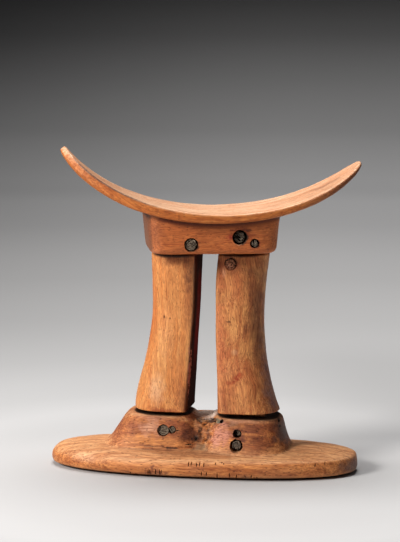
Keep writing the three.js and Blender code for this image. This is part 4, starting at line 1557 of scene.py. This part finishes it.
def paintHeadpiece(piece):
    n = normals(piece)
    x, y, z = fromRow(coordinates(piece), True).T
    below = np.interp(x, arcX, arcZ) - z  # how far under the neck rest's upper face
    fields = {
        "x": x,
        "below": below,
        "pastRim": below - np.interp(x / rest["halfArc"], *zip(*rest["rim"])),
        "fromMiddle": np.abs(x),
        "pastWidth": np.abs(x - block["x"]) - block["topHalfWidth"],
        "pastDepth": np.abs(y) - block["topHalfDepth"],
        "sideways": turnedBy(n[:, 0], n[:, 1], -headTurn)[0],
        "frontways": n[:, 1],
        "upward": n[:, 2],
    }
    for name in ("blockSideShade", "blockCorner", "shadowUnderRim", "rimLine", "rightTip"):
        paint(piece, name, marked(fields, headMarks[name]))
    front = blockFaceLeast + (1 - blockFaceLeast) * marked(fields, headMarks["blockFront"])
    paint(piece, "blockFace", marked(fields, onBlock) * front)
    # the grain follows the neck rest, and runs straight through the block
    bent = marked(fields, headMarks["onArc"])
    onArc = np.interp(x, arcX, arcS)
    paint(piece, "grainAt", stacked(onArc * bent + x * (1 - bent), y, z * (1 - bent) - below * bent))


def makeHeadpiece():
    piece = joined("headpieceWood", [makeNeckRest(), makeBlock()])
    remeshed(piece, headSurface["voxel"], headSurface["smoothing"])
    pushed(piece, handWorked(coordinates(piece), headSurface["lumps"]))
    markWear(piece, where=rubbedOnHeadpiece(piece))
    cut(piece, makeMortises(-1, tenon["upper"], True))
    cutPegHoles(piece, ("peg_head_left", "peg_head_right", "peg_head_small"), 11)
    markHollows(piece)
    smooth(piece)
    paintHeadpiece(piece)
    finished(piece, restWood, "rest_wood", "headpiece")
    print("headpiece", len(piece.data.polygons))


footMarks = {
    "offFloor": [("z", 0.3, 2.5)],
    "bossTops": [("z", 28.0, 31.0)],
    "darkTops": [("z", 27.5, 29.5)],
    # painted contact shadow along the foot's lower edge
    "floorContactShadow": [("z", 1.3, 0.3)],
}
saddleNotDarkened = {"at": (5, 4, 30), "size": (9, 14, 4)}  # kept free of the dirt and painted shade of hollows


def wearValley(piece):  # hand-worked surfaces, and the damage between the bosses
    co = coordinates(piece)
    own = fromRow(co)
    push = handWorked(co, footSurface["lumps"])
    for worn in damage:
        mask = near(own, worn["at"], worn["size"])
        push += mask * (lumps(co, worn["lump"], 6) * worn["amount"] - worn["depth"])
    pushed(piece, marked({"z": own[:, 2]}, footMarks["offFloor"]) * push)


def sinkGaps(piece):
    co = coordinates(piece)
    x, _, z = fromRow(co).T
    onTop = marked({"z": z}, footMarks["bossTops"])
    for gap in gaps:
        share = np.clip((x - gap["from"]) / (gap["to"] - gap["from"]), 0, 1)
        inside = smoothStep(gap["from"] - 3, gap["from"] + 1, x) * smoothStep(gap["to"] + 3, gap["to"] - 1, x)
        sink = gap["left"] + (gap["right"] - gap["left"]) * share
        co[:, 2] -= inside * sink * onTop * mm
    moveTo(piece, co)


def columnShadows(own):  # painted shadow on the tops of the bosses, just inside each column's outline
    under = np.zeros(len(own))
    onTop = marked({"z": own[:, 2]}, footMarks["darkTops"])
    for column in (leftColumn, rightColumn):
        base = column["stations"][0]
        reach = abs(base["outer"] - base["flat"]) / 2
        middle = (base["outer"] + base["flat"]) / 2 + 0.6 * column["side"]
        across = np.abs(own[:, 0] - middle) / (reach + 0.5)
        deep = np.abs(own[:, 1] - base["y"]) / (base["depth"] - 0.4)
        under = np.maximum(under, smoothStep(1.1, 0.9, across**3 + deep**3) * onTop)
    return under


def makeFoot():
    mounds = [makeMound(name, mound) for name, mound in foot.items() if name != "plank"]
    piece = joined("footWood", [makeFootPlank(), *mounds])
    remeshed(piece, footSurface["voxel"], footSurface["smoothing"])
    wearValley(piece)
    sinkGaps(piece)
    markWear(piece)
    cut(piece, makeMortises(0, tenon["lower"], False))
    names = ("peg_foot_left", "peg_foot_left_small", "peg_foot_right_small", "peg_foot_right")
    cutPegHoles(piece, names, 21)
    carve(piece, "foot")
    cut(piece, makeChecks())
    own = fromRow(coordinates(piece))
    markHollows(piece, where=1 - near(own, **saddleNotDarkened))
    smooth(piece)
    paint(piece, "columnShadow", columnShadows(own))
    paint(piece, "floorContactShadow", marked({"z": own[:, 2]}, footMarks["floorContactShadow"]))
    finished(piece, footWood, "foot_wood", "foot")
    print("foot", len(piece.data.polygons))


def fitPlug(shaft):
    low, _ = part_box("plug_column_right")
    front = (low[1] - footCentre[1]) / mm
    back = front + plug["depth"]
    shift = plug["holeShift"]
    hole = {**plug, "x": plug["x"] + shift, "z": plug["z"] + shift, "end": front, "tip": back}
    cut(shaft, makeHole(hole, 41, plug["holeExtra"]))
    values = {"Material": plugWood, **plug["end"]}
    piece = makeRod("plug", plug, plug["radius"] + plug["wider"], front + plug["back"], back, values)
    finishPeg(piece, plugWood, "plug_wood", "plug_column_right")


shaftMarks = {
    "rubbed": [("z", 36, 42), ("z", 119, 114)],
    "inward": [("inward", 0.55, 0.85)],
    "lowShade": [("z", 78, 50)],
    "highShade": [("z", 102, 116)],
    "frontShade": [("fromEdge", 15, 8)],
}
shadeEdge = [(9, 6, 1.5)]  # how unevenly the shade of the inner face ends
innerFaceFrom = 0.82  # how squarely a face looks inward to have the inner finish


def paintShaft(shaft, column, innerWood):  # the flat face that looks at the other column is duller
    co = coordinates(shaft)
    _, y, z = fromRow(co).T
    edge = along(column["stations"], "y", z) - along(column["stations"], "depth", z)
    fromEdge = y - edge + handWorked(co, shadeEdge)
    fields = {"z": z, "inward": normals(shaft)[:, 0] * column["side"], "fromEdge": fromEdge}
    inward = marked(fields, shaftMarks["inward"])
    shades = [marked(fields, shaftMarks[name]) for name in ("lowShade", "highShade", "frontShade")]
    # painted shade on the flat inner face, deeper towards its front edge, top and bottom
    paint(shaft, "innerFace", inward)
    paint(shaft, "innerShade", inward * np.max(shades, axis=0))
    shaft.data.materials.append(innerWood)
    facing = vectors(shaft.data.polygons, "normal")[:, 0] * column["side"]
    shaft.data.polygons.foreach_set("material_index", (facing > innerFaceFrom).astype(np.int32))


def makeShaft(name, column, wood, innerWood):
    shaft = makeColumn(f"{name}ColumnWood", column)
    z = fromRow(coordinates(shaft))[:, 2]
    markWear(shaft, where=marked({"z": z}, shaftMarks["rubbed"]))
    for seed, (key, peg) in enumerate(pegs.items()):
        low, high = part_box(key)
        onLeft = (low[0] + high[0]) / 2 < footCentre[0] + columnsPartAt * mm
        if onLeft == (name == "left"):
            cut(shaft, makeHole(peg, 31 + seed))
    if name == "right":
        fitPlug(shaft)
    carve(shaft, name)
    markHollows(shaft)
    smooth(shaft)
    finished(shaft, wood, "column_wood", f"column_{name}")
    paintShaft(shaft, column, innerWood)
    print(name, "column", len(shaft.data.polygons))


def makePeg(key, peg, seed):
    words = key.split("_")
    title = words[0] + "".join(word.capitalize() for word in words[1:])
    look = pegEnds[key]
    material = darkPegWood if look.get("dark") else pegWood
    values = {"Ragged": pegRagged, "Seed": seed, "Material": material}
    values.update({"End Rough": look["rough"], "Split": look["split"], "Split Turn": look["turn"]})
    radius, front = peg["radius"] - look["thin"], peg["end"] + look["back"]
    rod = makeRod(title, peg, radius, front, peg["tip"], values, peg.get("turned", False))
    finishPeg(rod, material, "peg_wood", key)


makeHeadpiece()
makeFoot()
makeShaft("left", leftColumn, leftWood, leftInnerWood)
makeShaft("right", rightColumn, rightWood, rightInnerWood)
for seed, (key, peg) in enumerate(pegs.items()):
    makePeg(key, peg, seed)
print("pegs done")

bpy.context.view_layer.update()
